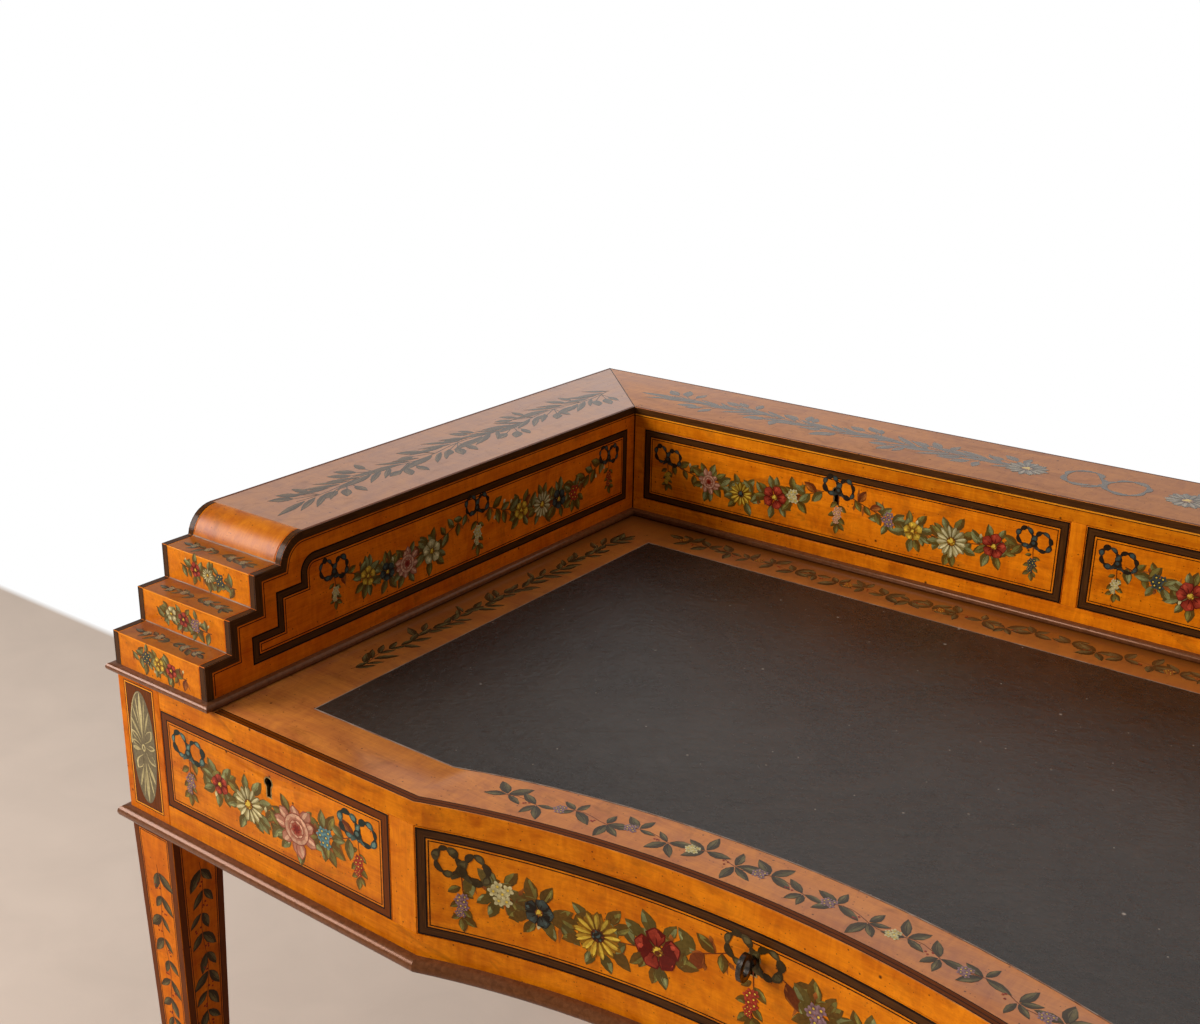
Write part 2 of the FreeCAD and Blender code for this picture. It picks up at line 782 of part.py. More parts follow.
def save_gallery():
    save("gallery_back_board", make_gallery_back())
    save_pair("gallery_outer_side", make_arm_side(-half_width, back_y))
    save_pair("gallery_inner_side", make_arm_side(-arm_inner - gallery_board, gallery_inside_back))
    save_pair("gallery_steps", make_steps())
    save_pair("gallery_nosing", make_nosing())
    save_pair("gallery_top", make_arm_top())
    save("gallery_top_back", make_back_top())
    save("gallery_top_rail", make_gallery_top_rail())
    save("gallery_bottom_rail", make_gallery_rail(writing_height, gallery_opening_bottom))
    save("gallery_stiles", make_gallery_stiles())
    save("gallery_partition", make_gallery_partition())
    save("gallery_drawer_runners", make_gallery_runners())
    save("gallery_moulding", make_gallery_moulding())


def save_drawers():
    for d in frieze_drawers() + gallery_drawers():
        save(d.name + "_drawer_front", make_drawer_front(d))
        save(d.name + "_drawer_box", make_drawer_box(d))
        save(d.name + "_drawer_bottom", drawer_bottom_board(d))
        save(d.name + "_lock", [make_lock_case(d), make_escutcheon(d)])
        save(d.name + "_lock_bolt", make_bolt(d))
        if d.curved:
            save(d.name + "_key", make_key(d))


os.makedirs("parts", exist_ok=True)
save_carcase()
save_gallery()
save_drawers()
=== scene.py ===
import json
import math
import random

import bmesh
import bpy
from bpy.props import FloatProperty, FloatVectorProperty, IntProperty, PointerProperty
from mathutils import Matrix, Vector


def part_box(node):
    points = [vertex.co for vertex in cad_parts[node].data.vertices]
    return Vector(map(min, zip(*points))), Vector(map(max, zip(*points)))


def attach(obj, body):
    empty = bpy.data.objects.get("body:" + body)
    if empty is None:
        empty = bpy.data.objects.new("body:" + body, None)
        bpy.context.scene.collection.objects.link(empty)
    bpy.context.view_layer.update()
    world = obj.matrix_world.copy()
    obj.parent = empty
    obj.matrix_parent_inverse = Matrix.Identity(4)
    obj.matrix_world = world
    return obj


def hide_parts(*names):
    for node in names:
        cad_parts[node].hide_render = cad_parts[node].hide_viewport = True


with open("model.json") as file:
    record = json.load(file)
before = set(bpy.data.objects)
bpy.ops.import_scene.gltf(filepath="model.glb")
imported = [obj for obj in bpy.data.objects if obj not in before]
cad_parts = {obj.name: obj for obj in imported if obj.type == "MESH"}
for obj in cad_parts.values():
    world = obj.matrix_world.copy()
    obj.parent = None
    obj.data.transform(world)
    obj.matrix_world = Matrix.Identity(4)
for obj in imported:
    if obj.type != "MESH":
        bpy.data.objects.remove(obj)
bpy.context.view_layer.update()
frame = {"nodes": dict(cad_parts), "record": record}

bl_info = {
    "name": "Carlton House desk",
    "version": (1, 0, 0),
    "blender": (4, 5, 0),
    "location": "3D View > Sidebar > Desk",
    "description": "Veneers, bands, paints and lights a painted satinwood writing desk",
    "category": "Object",
}

mm = 0.001
quarter = math.radians(90)
RIGHT, UP, BACK = Vector((1, 0, 0)), Vector((0, 0, 1)), Vector((0, 1, 0))
DRAWERS = ("frieze_left", "frieze_centre", "frieze_right", "gallery_left", "gallery_right")
SIDES = (("left", -1), ("right", 1))
LEGS = tuple("leg_%s_%s" % (end, hand) for end in ("front", "back") for hand, side in SIDES)

# Places read from the frame, in metres
node_body = {n: b for b, nodes in frame["record"]["behaviour"]["bodies"].items() for n in nodes}
node_slot = {s["node"]: s["material_slot"] for s in frame["record"]["subparts"]}
key_joint = next(j for j in frame["record"]["behaviour"]["joints"] if j["name"] == "key_turn")
half_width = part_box("leg_front_right")[1].x
leg_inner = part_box("leg_front_right")[0].x
front_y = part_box("leg_front_left")[0].y
back_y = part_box("leg_back_left")[1].y
leg_back_of_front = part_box("leg_front_left")[1].y
frieze_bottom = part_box("side_frieze_left")[0].z
moulding_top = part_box("lower_moulding")[1].z
writing_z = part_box("table_top")[1].z
arm_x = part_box("gallery_inner_side_right")[0].x
arm_middle = (half_width + arm_x) / 2
arm_half = (half_width - arm_x) / 2
gallery_face_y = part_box("gallery_bottom_rail")[0].y
gallery_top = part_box("gallery_top_back")[1].z
step_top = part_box("gallery_steps_left")[1].z
nose_centre_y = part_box("gallery_nosing_left")[1].y
ledge_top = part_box("gallery_moulding")[1].z
ledge_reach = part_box("gallery_moulding")[1].x - half_width
leather_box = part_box("leather_inset")
recess_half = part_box("frieze_centre_drawer_front")[1].x
recess_depth = key_joint["pos_m"][1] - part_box("frieze_centre_drawer_front")[0].y
recess_radius = (recess_half**2 + recess_depth**2) / (2 * recess_depth)
recess_centre_y = key_joint["pos_m"][1] - recess_radius

# The steps, the rounds and the ankles of the desk, which no box of a node gives
step_rise = 31 * mm
step_run = 29 * mm
step_count = 3
nose_radius = 28 * mm
nose_centre_z = gallery_top - nose_radius
ankle_z = 60 * mm
ankle_half = 15.5 * mm

# The tops of the gallery are scraped down a little, so that the inlay and the paint on them stay inside the
# box of the CAD
top_scrape = 0.45 * mm
top_z = gallery_top - top_scrape
nose_squash = 1 - top_scrape / nose_radius


def tread_z(step):
    """The height of a tread, counted from the lowest."""
    return step_top - step_rise * (step_count - 1 - step)


# What a user would change


def colour(name, description, red, green, blue):
    return FloatVectorProperty(name=name, description=description, default=(red, green, blue), size=3,
                               min=0.0, max=1.0, subtype="COLOR")


def amount(name, description, value, **kind):
    return FloatProperty(name=name, description=description, default=value, **kind)


def length(name, description, size):
    return amount(name, description, size, min=0.0, unit="LENGTH")


class DeskFinishes(bpy.types.PropertyGroup):
    """Colours of the woods, the leather and the metals"""
    satinwood: colour("Satinwood", "Light figure of the veneer", 0.84, 0.245, 0.004)
    satinwood_deep: colour("Satinwood deep", "Dark figure of the veneer", 0.43, 0.08, 0.001)
    # The pale tone of the tops is partly real fading and partly a painted sheen
    fade_and_sheen: colour("Faded", "Veneer bleached by the light, on the tops", 0.5, 0.3, 0.17)
    # The colour of the old stains also paints the shade on the table towards the arms and the gallery
    smoke: colour("Smoke", "Old dark stains in the veneer", 0.15, 0.04, 0.004)
    rosewood: colour("Rosewood", "Light streaks of the banding", 0.155, 0.033, 0.002)
    rosewood_deep: colour("Rosewood deep", "Dark streaks of the banding", 0.085, 0.017, 0.001)
    moulding: colour("Moulding", "Light streaks of the mouldings", 0.16, 0.054, 0.018)
    moulding_deep: colour("Moulding deep", "Dark streaks of the mouldings", 0.09, 0.029, 0.009)
    bog: colour("Bog oak", "Light streaks of the darker banding", 0.1, 0.034, 0.007)
    bog_deep: colour("Bog oak deep", "Dark streaks of the darker banding", 0.03, 0.01, 0.003)
    ebony: colour("Ebony", "Dark stringing", 0.012, 0.005, 0.002)
    boxwood: colour("Boxwood", "Pale stringing", 0.72, 0.27, 0.02)
    dust: colour("Dust", "Dust and rubbed edges", 0.42, 0.34, 0.27)
    lining: colour("Lining", "Drawer linings", 0.36, 0.2, 0.085)
    lining_deep: colour("Lining deep", "Dark grain of the drawer linings", 0.2, 0.095, 0.035)
    leather: colour("Leather", "Rubbed leather", 0.047, 0.032, 0.022)
    leather_deep: colour("Leather deep", "Unworn leather", 0.007, 0.004, 0.002)
    brass: colour("Brass", "Locks and keyhole liners", 0.52, 0.36, 0.14)
    steel: colour("Steel", "The key", 0.12, 0.1, 0.085)
    floor: colour("Floor", "Pale floor", 0.62, 0.5, 0.41)


class DeskInlay(bpy.types.PropertyGroup):
    """Widths of the bands and lines let into the veneer"""
    band: length("Band", "Width of the rosewood band", 0.0064)
    line: length("Line", "Width of a dark line", 0.0008)
    string: length("String", "Width of a pale line", 0.0014)
    edge: length("Edge", "Width of the dark band along the edges of the gallery", 0.0074)
    panel_inset: length("Panel inset", "From the edge of an arm to its banded panel", 0.022)
    proud: length("Proud", "How far inlay stands above the veneer", 0.00008)
    deep: length("Deep", "How far inlay reaches into the veneer", 0.0004)
    arris: length("Arris", "Rounding of the edges of the boards", 0.0005)


class DeskPaint(bpy.types.PropertyGroup):
    """Colours of the painted ornament"""
    leaf: colour("Leaf", "Lit leaves", 0.19, 0.15, 0.03)
    leaf_shade: colour("Leaf shade", "Shaded leaves", 0.1, 0.045, 0.005)
    sage: colour("Sage", "Lit leaves of the bluer kind", 0.22, 0.21, 0.075)
    sage_shade: colour("Sage shade", "Shaded leaves of the bluer kind", 0.095, 0.058, 0.01)
    dusk: colour("Dusk", "Lit leaves on the borders of the table", 0.118, 0.086, 0.03)
    dusk_shade: colour("Dusk shade", "Shaded leaves on the borders of the table", 0.042, 0.023, 0.006)
    grey: colour("Grey leaf", "Lit leaves of the sprays on the gallery", 0.135, 0.08, 0.037)
    grey_shade: colour("Grey leaf shade", "Shaded leaves of the sprays on the gallery", 0.075, 0.04, 0.016)
    rust: colour("Rust", "Turned leaves and buds", 0.36, 0.1, 0.014)
    rust_shade: colour("Rust shade", "Stems", 0.13, 0.025, 0.004)
    ribbon: colour("Ribbon", "Lit ribbon", 0.13, 0.21, 0.165)
    ribbon_shade: colour("Ribbon shade", "Shaded ribbon", 0.016, 0.022, 0.015)
    cream: colour("Cream", "Lit cream petals", 0.68, 0.57, 0.29)
    cream_shade: colour("Cream shade", "Shaded cream petals", 0.3, 0.215, 0.065)
    yellow: colour("Yellow", "Lit yellow petals", 0.7, 0.45, 0.045)
    yellow_shade: colour("Yellow shade", "Shaded yellow petals", 0.32, 0.13, 0.006)
    red: colour("Red", "Lit red petals", 0.43, 0.052, 0.022)
    red_shade: colour("Red shade", "Shaded red petals", 0.17, 0.008, 0.002)
    pink: colour("Pink", "Lit pink petals", 0.72, 0.41, 0.24)
    pink_shade: colour("Pink shade", "Shaded pink petals", 0.3, 0.07, 0.035)
    blue: colour("Blue", "Lit dark blue petals", 0.06, 0.08, 0.068)
    blue_shade: colour("Blue shade", "Shaded dark blue petals", 0.024, 0.014, 0.007)
    teal: colour("Teal", "Lit teal petals", 0.15, 0.29, 0.29)
    teal_shade: colour("Teal shade", "Shaded teal petals", 0.022, 0.05, 0.05)
    purple: colour("Purple", "Lit purple petals", 0.31, 0.175, 0.185)
    purple_shade: colour("Purple shade", "Shaded purple petals", 0.1, 0.032, 0.03)
    pale: colour("Pale", "Lit petals on the top of the gallery", 0.32, 0.24, 0.15)
    pale_shade: colour("Pale shade", "Shaded petals on the top of the gallery", 0.14, 0.095, 0.05)
    deep: length("Deep", "How far the paint reaches into the veneer", 0.00005)


class DeskStage(bpy.types.PropertyGroup):
    """The floor, the lights and the camera"""
    camera_place: FloatVectorProperty(name="Camera", description="Where the camera stands",
                                      default=(0.3958, -1.0475, 1.3292), size=3, subtype="TRANSLATION")
    camera_turn: amount("Turn", "Turn of the camera about the upright", math.radians(38.25), subtype="ANGLE")
    camera_tilt: amount("Tilt", "How far the camera looks down", math.radians(20.0), subtype="ANGLE")
    camera_roll: amount("Roll", "Roll of the camera", math.radians(0.21), subtype="ANGLE")
    focal_length: amount("Focal length", "Focal length on a 36 mm sensor", 44.5)
    shift: amount("Shift", "Sideways shift of the picture", 0.05)
    wall_y: length("Wall", "How far behind the desk's middle the floor turns white", 0.64)
    key_power: amount("Key light", "Power of the soft light on the left", 178.0, unit="POWER")
    fill_power: amount("Fill light", "Power of the soft light above", 14.0, unit="POWER")
    ambient: amount("Ambient", "Strength of the light all round", 0.24, min=0.0)
    seed: IntProperty(name="Seed", description="Start of the random draws", default=7)


# Shader nodes


class Graph:
    """A short way to write a node tree."""

    def __init__(self, tree):
        self.tree = tree

    def feed(self, socket, value):
        """Gives an input a value, or joins it to another node's output."""
        if isinstance(value, bpy.types.NodeSocket):
            self.tree.links.new(value, socket)
        elif socket.type == "RGBA" and len(value) == 3:
            socket.default_value = (*value, 1.0)
        else:
            socket.default_value = value

    def add(self, kind, values=(), **settings):
        """A new node's outputs. Its inputs get the values in order or, from a dict, by number or name."""
        node = self.tree.nodes.new("ShaderNode" + kind)
        for name, value in settings.items():
            setattr(node, name, value)
        places = values if isinstance(values, dict) else dict(enumerate(values))
        for place, value in places.items():
            self.feed(node.inputs[place], value)
        return node.outputs

    def noise(self, vector, scale, detail=3.0, rough=0.55, bend=0.0):
        values = {"Vector": vector, "Scale": scale, "Detail": detail, "Roughness": rough, "Distortion": bend}
        return self.add("TexNoise", values)["Fac"]

    def stretched(self, vector, scales):
        return self.add("VectorMath", (vector, scales), operation="MULTIPLY")[0]

    def spread(self, value, low, high, to_low=0.0, to_high=1.0):
        """A value brought from one range to another."""
        return self.add("MapRange", (value, low, high, to_low, to_high))[0]

    def figure(self, vector, scales, detail, rough, low, high, bend=0.0):
        """Noise drawn out along an axis, spread between two of its levels."""
        return self.spread(self.noise(self.stretched(vector, scales), 1.0, detail, rough, bend), low, high)

    def calc(self, operation, a, b):
        return self.add("Math", (a, b), operation=operation)[0]

    def total(self, *terms):
        """The sum of some values, each times its share."""
        result = 0.0
        for value, share in terms:
            result = self.add("Math", (value, share, result), operation="MULTIPLY_ADD")[0]
        return result

    def mix(self, share, a, b, blend="MIX"):
        return self.add("Mix", {0: share, 6: a, 7: b}, data_type="RGBA", blend_type=blend)[2]

    def specks(self, vector, scale, radius, rarity):
        """Small round spots, one in some of the cells of a scattered grid."""
        cells = self.add("TexVoronoi", {"Vector": vector, "Scale": scale})
        near = self.spread(cells["Distance"], radius, radius * 0.4)
        chosen = self.calc("GREATER_THAN", self.add("SeparateColor", [cells["Color"]])[0], rarity)
        return self.calc("MULTIPLY", near, chosen)


def effect(name, inputs, outputs, build):
    """A shared node group, built once.

    build gets the graph and the group's inputs, and returns its outputs in order."""
    if name in bpy.data.node_groups:
        return bpy.data.node_groups[name]
    tree = bpy.data.node_groups.new(name, "ShaderNodeTree")
    for socket_name, kind in inputs:
        tree.interface.new_socket(name=socket_name, in_out="INPUT", socket_type="NodeSocket" + kind)
    for socket_name, kind in outputs:
        tree.interface.new_socket(name=socket_name, in_out="OUTPUT", socket_type="NodeSocket" + kind)
    graph = Graph(tree)
    start = tree.nodes.new("NodeGroupInput")
    end = tree.nodes.new("NodeGroupOutput")
    made = build(graph, {n: start.outputs[n] for n, kind in inputs})
    for (socket_name, kind), result in zip(outputs, made):
        graph.feed(end.inputs[socket_name], result)
    return tree


DENT_COLOUR = (0.035, 0.008, 0.002)
DULL_COLOUR = (0.3, 0.24, 0.2)
RUBBED_COLOUR = (0.5, 0.36, 0.24)


def build_veneer(g, given):
    """Streaks and lines along x, a ripple across them, clouds, smoky stains, pores and many small dents."""
    vector = given["Vector"]
    streak = g.figure(vector, (6, 130, 130), 5.0, 0.62, 0.34, 0.66)
    line = g.figure(vector, (22, 520, 520), 3.0, 0.6, 0.36, 0.64)
    ripple = g.figure(vector, (110, 30, 30), 3.0, 0.6, 0.38, 0.62, 1.2)
    cloud = g.figure(vector, (14, 24, 24), 5.0, 0.62, 0.38, 0.62, 1.4)
    smoke = g.figure(vector, (17, 26, 26), 6.0, 0.65, 0.55, 0.78, 1.8)
    pore = g.figure(vector, (120, 1700, 1700), 1.0, 0.55, 0.58, 0.72)
    tone = g.total((streak, 0.24), (line, 0.16), (ripple, 0.22), (cloud, 0.38))
    base = g.mix(tone, given["Deep"], given["Light"])
    base = g.mix(g.calc("MULTIPLY", smoke, 0.62), base, given["Smoke"])
    base = g.mix(g.calc("MULTIPLY", pore, 0.3), base, given["Deep"])
    dents = g.calc("MAXIMUM", g.specks(vector, 45.0, 0.075, 0.35), g.specks(vector, 120.0, 0.11, 0.3))
    dents = g.calc("MAXIMUM", dents, g.specks(vector, 260.0, 0.14, 0.55))
    dents = g.calc("MULTIPLY", dents, given["Dents"])
    base = g.mix(dents, base, DENT_COLOUR)
    rough = g.total((cloud, 0.1), (smoke, 0.12), (1.0, 0.28))
    height = g.calc("SUBTRACT", g.calc("MULTIPLY", streak, 0.5), g.calc("MAXIMUM", pore, dents))
    return base, rough, height


def veneer_group():
    inputs = [("Vector", "Vector"), ("Light", "Color"), ("Deep", "Color"), ("Smoke", "Color"),
              ("Dents", "Float")]
    outputs = [("Color", "Color"), ("Roughness", "Float"), ("Height", "Float")]
    return effect("Veneer figure", inputs, outputs, build_veneer)


def build_patina(g, given):
    """Dust and old polish: soft dull patches and a few pale rubbed spots."""
    patch = g.spread(g.noise(given["Vector"], 14.0, 4.0, 0.6, 0.4), 0.4, 0.7)
    dull = g.calc("MULTIPLY", patch, given["Amount"])
    rubbed = g.specks(given["Vector"], 60.0, 0.1, 0.88)
    tint = g.mix(g.calc("MULTIPLY", dull, 0.35), given["Color"], DULL_COLOUR)
    tint = g.mix(g.calc("MULTIPLY", rubbed, given["Amount"]), tint, RUBBED_COLOUR)
    return tint, g.total((dull, 0.35), (1.0, 0.22))


def patina_group():
    return effect("Patina", [("Vector", "Vector"), ("Color", "Color"), ("Amount", "Float")],
                  [("Color", "Color"), ("Roughness", "Float")], build_patina)


class Finish:
    """A material under construction, with its Principled shader."""

    def __init__(self, name):
        self.material = bpy.data.materials.new(name)
        self.material.use_nodes = True
        self.graph = Graph(self.material.node_tree)
        self.shader = self.material.node_tree.nodes["Principled BSDF"]

    def set(self, **values):
        """Feeds the shader's inputs, whose names are written with underscores."""
        for name, value in values.items():
            self.graph.feed(self.shader.inputs[name.replace("_", " ")], value)

    def place(self, turn=(0, 0, 0), shift=(0, 0, 0)):
        """Object coordinates, turned so that the grain runs along x."""
        source = self.graph.add("TexCoord")["Object"]
        return self.graph.add("Mapping", {"Vector": source, "Rotation": turn, "Location": shift})[0]

    def shared(self, tree, **values):
        """The outputs of a shared node group."""
        return self.graph.add("Group", values, node_tree=tree)

    def bump(self, height, strength, distance=0.0002):
        values = {"Strength": strength, "Distance": distance, "Height": height}
        self.graph.feed(self.shader.inputs["Normal"], self.graph.add("Bump", values)[0])


# How the veneer is turned, so that its grain runs along an axis or up the slope of the steps
GRAIN = {"x": (0, 0, 0), "y": (0, 0, -quarter), "z": (0, quarter, 0), "slope": (-quarter / 2, 0, -quarter)}
VENEER_SHIFT = (0.37, 0.11, 0.53)


def made_once(build):
    """Keeps the material that a call with the same words made before."""
    store = {}

    def finish(*words):
        if words not in store:
            store[words] = build(*words)
        return store[words]

    return finish


# Of a kind of face: its share of the full colour and its share of the green in that, which paint in the light
# and shade that fall on that face (on the legs also a darker wood); how much polish it keeps; and how far it
# is turned to a pale tone, partly real fading and partly a painted sheen
LIGHT_AND_AGE = {"front": (0.96, 1.0, 0.06, 0.0), "table": (0.8, 1.0, 0.7, 0.2), "level": (0.58, 1.0, 0.85, 0.3),
       "leg": (0.84, 0.86, 0.03, 0.0), "round": (0.74, 1.0, 0.3, 0.0), "tread": (0.46, 1.0, 0.36, 0.0),
       "arm": (0.92, 0.76, 0.06, 0.0), "back": (1.1, 0.95, 0.06, 0.0)}


def painted_shade_by_gallery(finish):
    """Painted shade that darkens the table towards the arms and the back of the gallery, for their shadow and
    dark reflection.
    """
    starts_x, starts_y, full_y, by_back_wide, most = 0.395, -0.3, -0.12, 0.05, 0.95
    g = finish.graph
    place = g.add("SeparateXYZ", [finish.place()])
    near = g.spread(g.calc("ABSOLUTE", place["X"], 0.0), starts_x, arm_x)
    behind = g.spread(place["Y"], starts_y, full_y)
    by_back = g.spread(place["Y"], leather_box[1].y - by_back_wide, gallery_face_y)
    by_arms = g.calc("MULTIPLY", g.calc("MULTIPLY", near, behind), most)
    return g.calc("MAXIMUM", by_arms, by_back)


@made_once
def satinwood(axis, face_kind):
    colours = bpy.context.scene.desk_finishes
    share, green, polish, fade_and_sheen_share = LIGHT_AND_AGE[face_kind]
    fade_and_sheen = Vector(colours.fade_and_sheen)
    # Painted light and shade: the veneer's colours are scaled for each kind of face, and turned towards a
    # pale tone that is partly fading and partly a painted sheen
    painted_light = Vector((share, share * green, share))
    light = (Vector(colours.satinwood) * painted_light).lerp(fade_and_sheen, fade_and_sheen_share)
    deep = (Vector(colours.satinwood_deep) * painted_light).lerp(fade_and_sheen * 0.75, fade_and_sheen_share)
    finish = Finish("satinwood_%s_%s" % (face_kind, axis))
    vector = finish.place(GRAIN[axis], VENEER_SHIFT)
    out = finish.shared(veneer_group(), Vector=vector, Light=light, Deep=deep, Smoke=colours.smoke, Dents=0.9)
    tint = out["Color"]
    # Painted shade on the table towards the arms and the back of the gallery, in the colour of the old stains
    if face_kind == "table":
        tint = finish.graph.mix(painted_shade_by_gallery(finish), tint, colours.smoke)
    finish.set(Base_Color=tint, Roughness=out["Roughness"], Specular_IOR_Level=0.05, Coat_Weight=polish,
               Coat_Roughness=0.4 if face_kind == "round" else 0.16, Coat_IOR=1.5)
    finish.bump(out["Height"], 0.14)
    return finish.material


@made_once
def band_wood(name, light, deep):
    """Wood of the bands and lines, whose streaks run along them."""
    colours = bpy.context.scene.desk_finishes
    finish = Finish(name)
    g = finish.graph
    along = g.stretched(g.add("UVMap", uv_map="Band")[0], (0.05, 1, 1))
    streak = g.spread(g.noise(along, 900.0, 4.0, 0.65), 0.3, 0.7)
    tint = g.mix(streak, getattr(colours, deep), getattr(colours, light))
    out = finish.shared(patina_group(), Vector=finish.place(), Color=tint, Amount=0.03)
    finish.set(Base_Color=out["Color"], Roughness=out["Roughness"], Specular_IOR_Level=0.04, Coat_Weight=0.05,
               Coat_Roughness=0.2)
    finish.bump(streak, 0.1)
    return finish.material


@made_once
def moulding_wood():
    colours = bpy.context.scene.desk_finishes
    finish = Finish("moulding_rosewood")
    vector = finish.place()
    streak = finish.graph.spread(finish.graph.noise(vector, 240.0, 4.0, 0.6, 0.5), 0.3, 0.7)
    tint = finish.graph.mix(streak, colours.moulding_deep, colours.moulding)
    out = finish.shared(patina_group(), Vector=vector, Color=tint, Amount=0.06)
    finish.set(Base_Color=out["Color"], Roughness=out["Roughness"], Specular_IOR_Level=0.34,
               Specular_Tint=(1.0, 0.5, 0.3), Coat_Weight=0.06, Coat_Roughness=0.2)
    finish.bump(streak, 0.1)
    return finish.material


@made_once
def lining_wood(axis):
    colours = bpy.context.scene.desk_finishes
    finish = Finish("lining_" + axis)
    out = finish.shared(veneer_group(), Vector=finish.place(GRAIN[axis]), Light=colours.lining,
                        Deep=colours.lining_deep, Smoke=colours.lining_deep, Dents=0.3)
    finish.set(Base_Color=out["Color"], Roughness=finish.graph.calc("ADD", out["Roughness"], 0.3))
    finish.bump(out["Height"], 0.3)
    return finish.material


# The scuffs of the leather, in sets: their turn, how fine they are along and across, and how much they bend
LEATHER_STROKES = ((0.4, 8, 22, 4.0), (-0.8, 5, 15, 5.0), (1.5, 14, 90, 3.0), (2.5, 10, 130, 2.0))


@made_once
def worn_leather():
    colours = bpy.context.scene.desk_finishes
    finish = Finish("worn_leather")
    g = finish.graph
    vector = finish.place()
    cloud = g.spread(g.noise(vector, 5.0, 8.0, 0.72, 1.2), 0.34, 0.66)
    strokes = 0.0
    for turn, along, across, bend in LEATHER_STROKES:
        streak = g.figure(finish.place((0, 0, turn)), (along, across, 1), 8.0, 0.72, 0.54, 0.8, bend)
        strokes = g.calc("MAXIMUM", streak, strokes)
    grain = g.noise(vector, 420.0, 3.0, 0.6)
    pebble = g.spread(g.noise(vector, 150.0, 5.0, 0.7), 0.3, 0.7)
    rubbed = g.total((strokes, 0.35), (cloud, 0.4), (pebble, 0.35))
    tint = g.mix(rubbed, colours.leather_deep, colours.leather)
    flecks = g.calc("MAXIMUM", g.specks(vector, 30.0, 0.05, 0.6), g.specks(vector, 150.0, 0.12, 0.93))
    tint = g.mix(g.calc("MULTIPLY", flecks, 0.85), tint, colours.dust)
    rough = g.total((strokes, -0.05), (cloud, -0.06), (pebble, 0.08), (1.0, 0.25))
    finish.set(Base_Color=tint, Roughness=rough, Specular_IOR_Level=0.4)
    finish.bump(g.total((grain, 0.6), (strokes, 0.6), (cloud, 2.4), (pebble, 1.4)), 0.5, 0.0005)
    return finish.material


@made_once
def old_metal(name, colour_name, rough):
    colours = bpy.context.scene.desk_finishes
    finish = Finish(name)
    vector = finish.place()
    tarnish = finish.graph.spread(finish.graph.noise(vector, 260.0, 4.0, 0.6), 0.38, 0.68)
    tint = Vector(getattr(colours, colour_name))
    finish.set(Base_Color=finish.graph.mix(tarnish, tint, tint * 0.35), Metallic=1.0,
               Roughness=finish.graph.spread(tarnish, 0.0, 1.0, rough, rough + 0.25))
    finish.bump(tarnish, 0.1)
    return finish.material


@made_once
def paint(face_kind):
    """Oil paint under the polish of its ground, in the colour that each stroke carries."""
    finish = Finish("painted_ornament_" + face_kind)
    g = finish.graph
    stroke = g.add("Attribute", attribute_name="Paint")["Color"]
    vector = finish.place()
    worn = g.spread(g.noise(vector, 420.0, 3.0, 0.6), 0.3, 0.7, 0.72, 1.12)
    tint = g.mix(1.0, stroke, worn, "MULTIPLY")
    out = finish.shared(patina_group(), Vector=vector, Color=tint, Amount=0.1)
    finish.set(Base_Color=out["Color"], Roughness=out["Roughness"], Specular_IOR_Level=0.06,
               Coat_Weight=min(LIGHT_AND_AGE[face_kind][2], 0.5), Coat_Roughness=0.18)
    finish.bump(g.noise(vector, 900.0, 2.0), 0.1)
    return finish.material


# The woods of the inlay, in the order of their numbers, each with its light and its dark colour
INLAY_WOODS = (("rosewood_band", "rosewood", "rosewood_deep"), ("ebony_line", "ebony", "ebony"),
               ("boxwood_line", "boxwood", "satinwood"), ("dusty_line", "dust", "rosewood"),
               ("dark_band", "bog", "bog_deep"))
ROSEWOOD, EBONY, BOXWOOD, DUST, DARK, GAP = 0, 1, 2, 3, 4, None

# Rings of inlay, each with its width in metres
LEG_RINGS = ((0.5 * mm, GAP), (6.2 * mm, ROSEWOOD), (0.7 * mm, EBONY), (1.1 * mm, GAP), (0.7 * mm, EBONY))
PANEL_RINGS = ((0.8 * mm, EBONY), (1.3 * mm, BOXWOOD), (0.8 * mm, EBONY))
LEATHER_RINGS = ((0.9 * mm, DUST),)

# Strips of inlay, from and to in millimetres behind an edge
SIDE_STRIPS = ((0.0, 0.9, EBONY), (0.9, 5.6, DARK), (5.6, 6.4, EBONY))
TABLE_STRIPS = ((0.7, 1.5, EBONY), (1.5, 4.2, ROSEWOOD), (4.2, 4.9, EBONY), (4.9, 7.6, ROSEWOOD),
                (7.6, 8.4, EBONY))

# Other sizes of the inlay, in millimetres: what it leaves free along an eased edge, the lines along the tops
# of the gallery, the panels under the pateras, and those on the sides and the back
REST = 0.5
TOP_LINE = 2.6
STRIPS_WIDE = 6.4
PANEL_GAP = 7.6
PANEL_END = 6.0
PANEL_RIM = 2.9
FRIEZE_GAP = (8, 10, 12)
REAR_GAP = 22


# Faces to work on: place takes millimetres across, up and out, and gives a point in metres


class FlatFace:
    """A flat face: u runs to its right and v up it, seen from outside."""

    def __init__(self, origin, right, up):
        self.origin = Vector(origin)
        self.right = Vector(right).normalized()
        self.up = Vector(up).normalized()
        self.out = self.right.cross(self.up)

    def place(self, u, v, lift):
        return self.origin + (self.right * u + self.up * v + self.out * lift) * mm


class RecessFace:
    """The hollow front: u is measured along x and v is the height above the origin."""

    # How far the flat facets of the front stand before the true curve
    extra = 0.12

    def __init__(self, z):
        self.z = z

    def place(self, u, v, lift):
        angle = math.asin(u * mm / recess_radius)
        radius = recess_radius - (lift + self.extra) * mm
        return Vector((radius * math.sin(angle), recess_centre_y + radius * math.cos(angle),
                       self.z + v * mm))


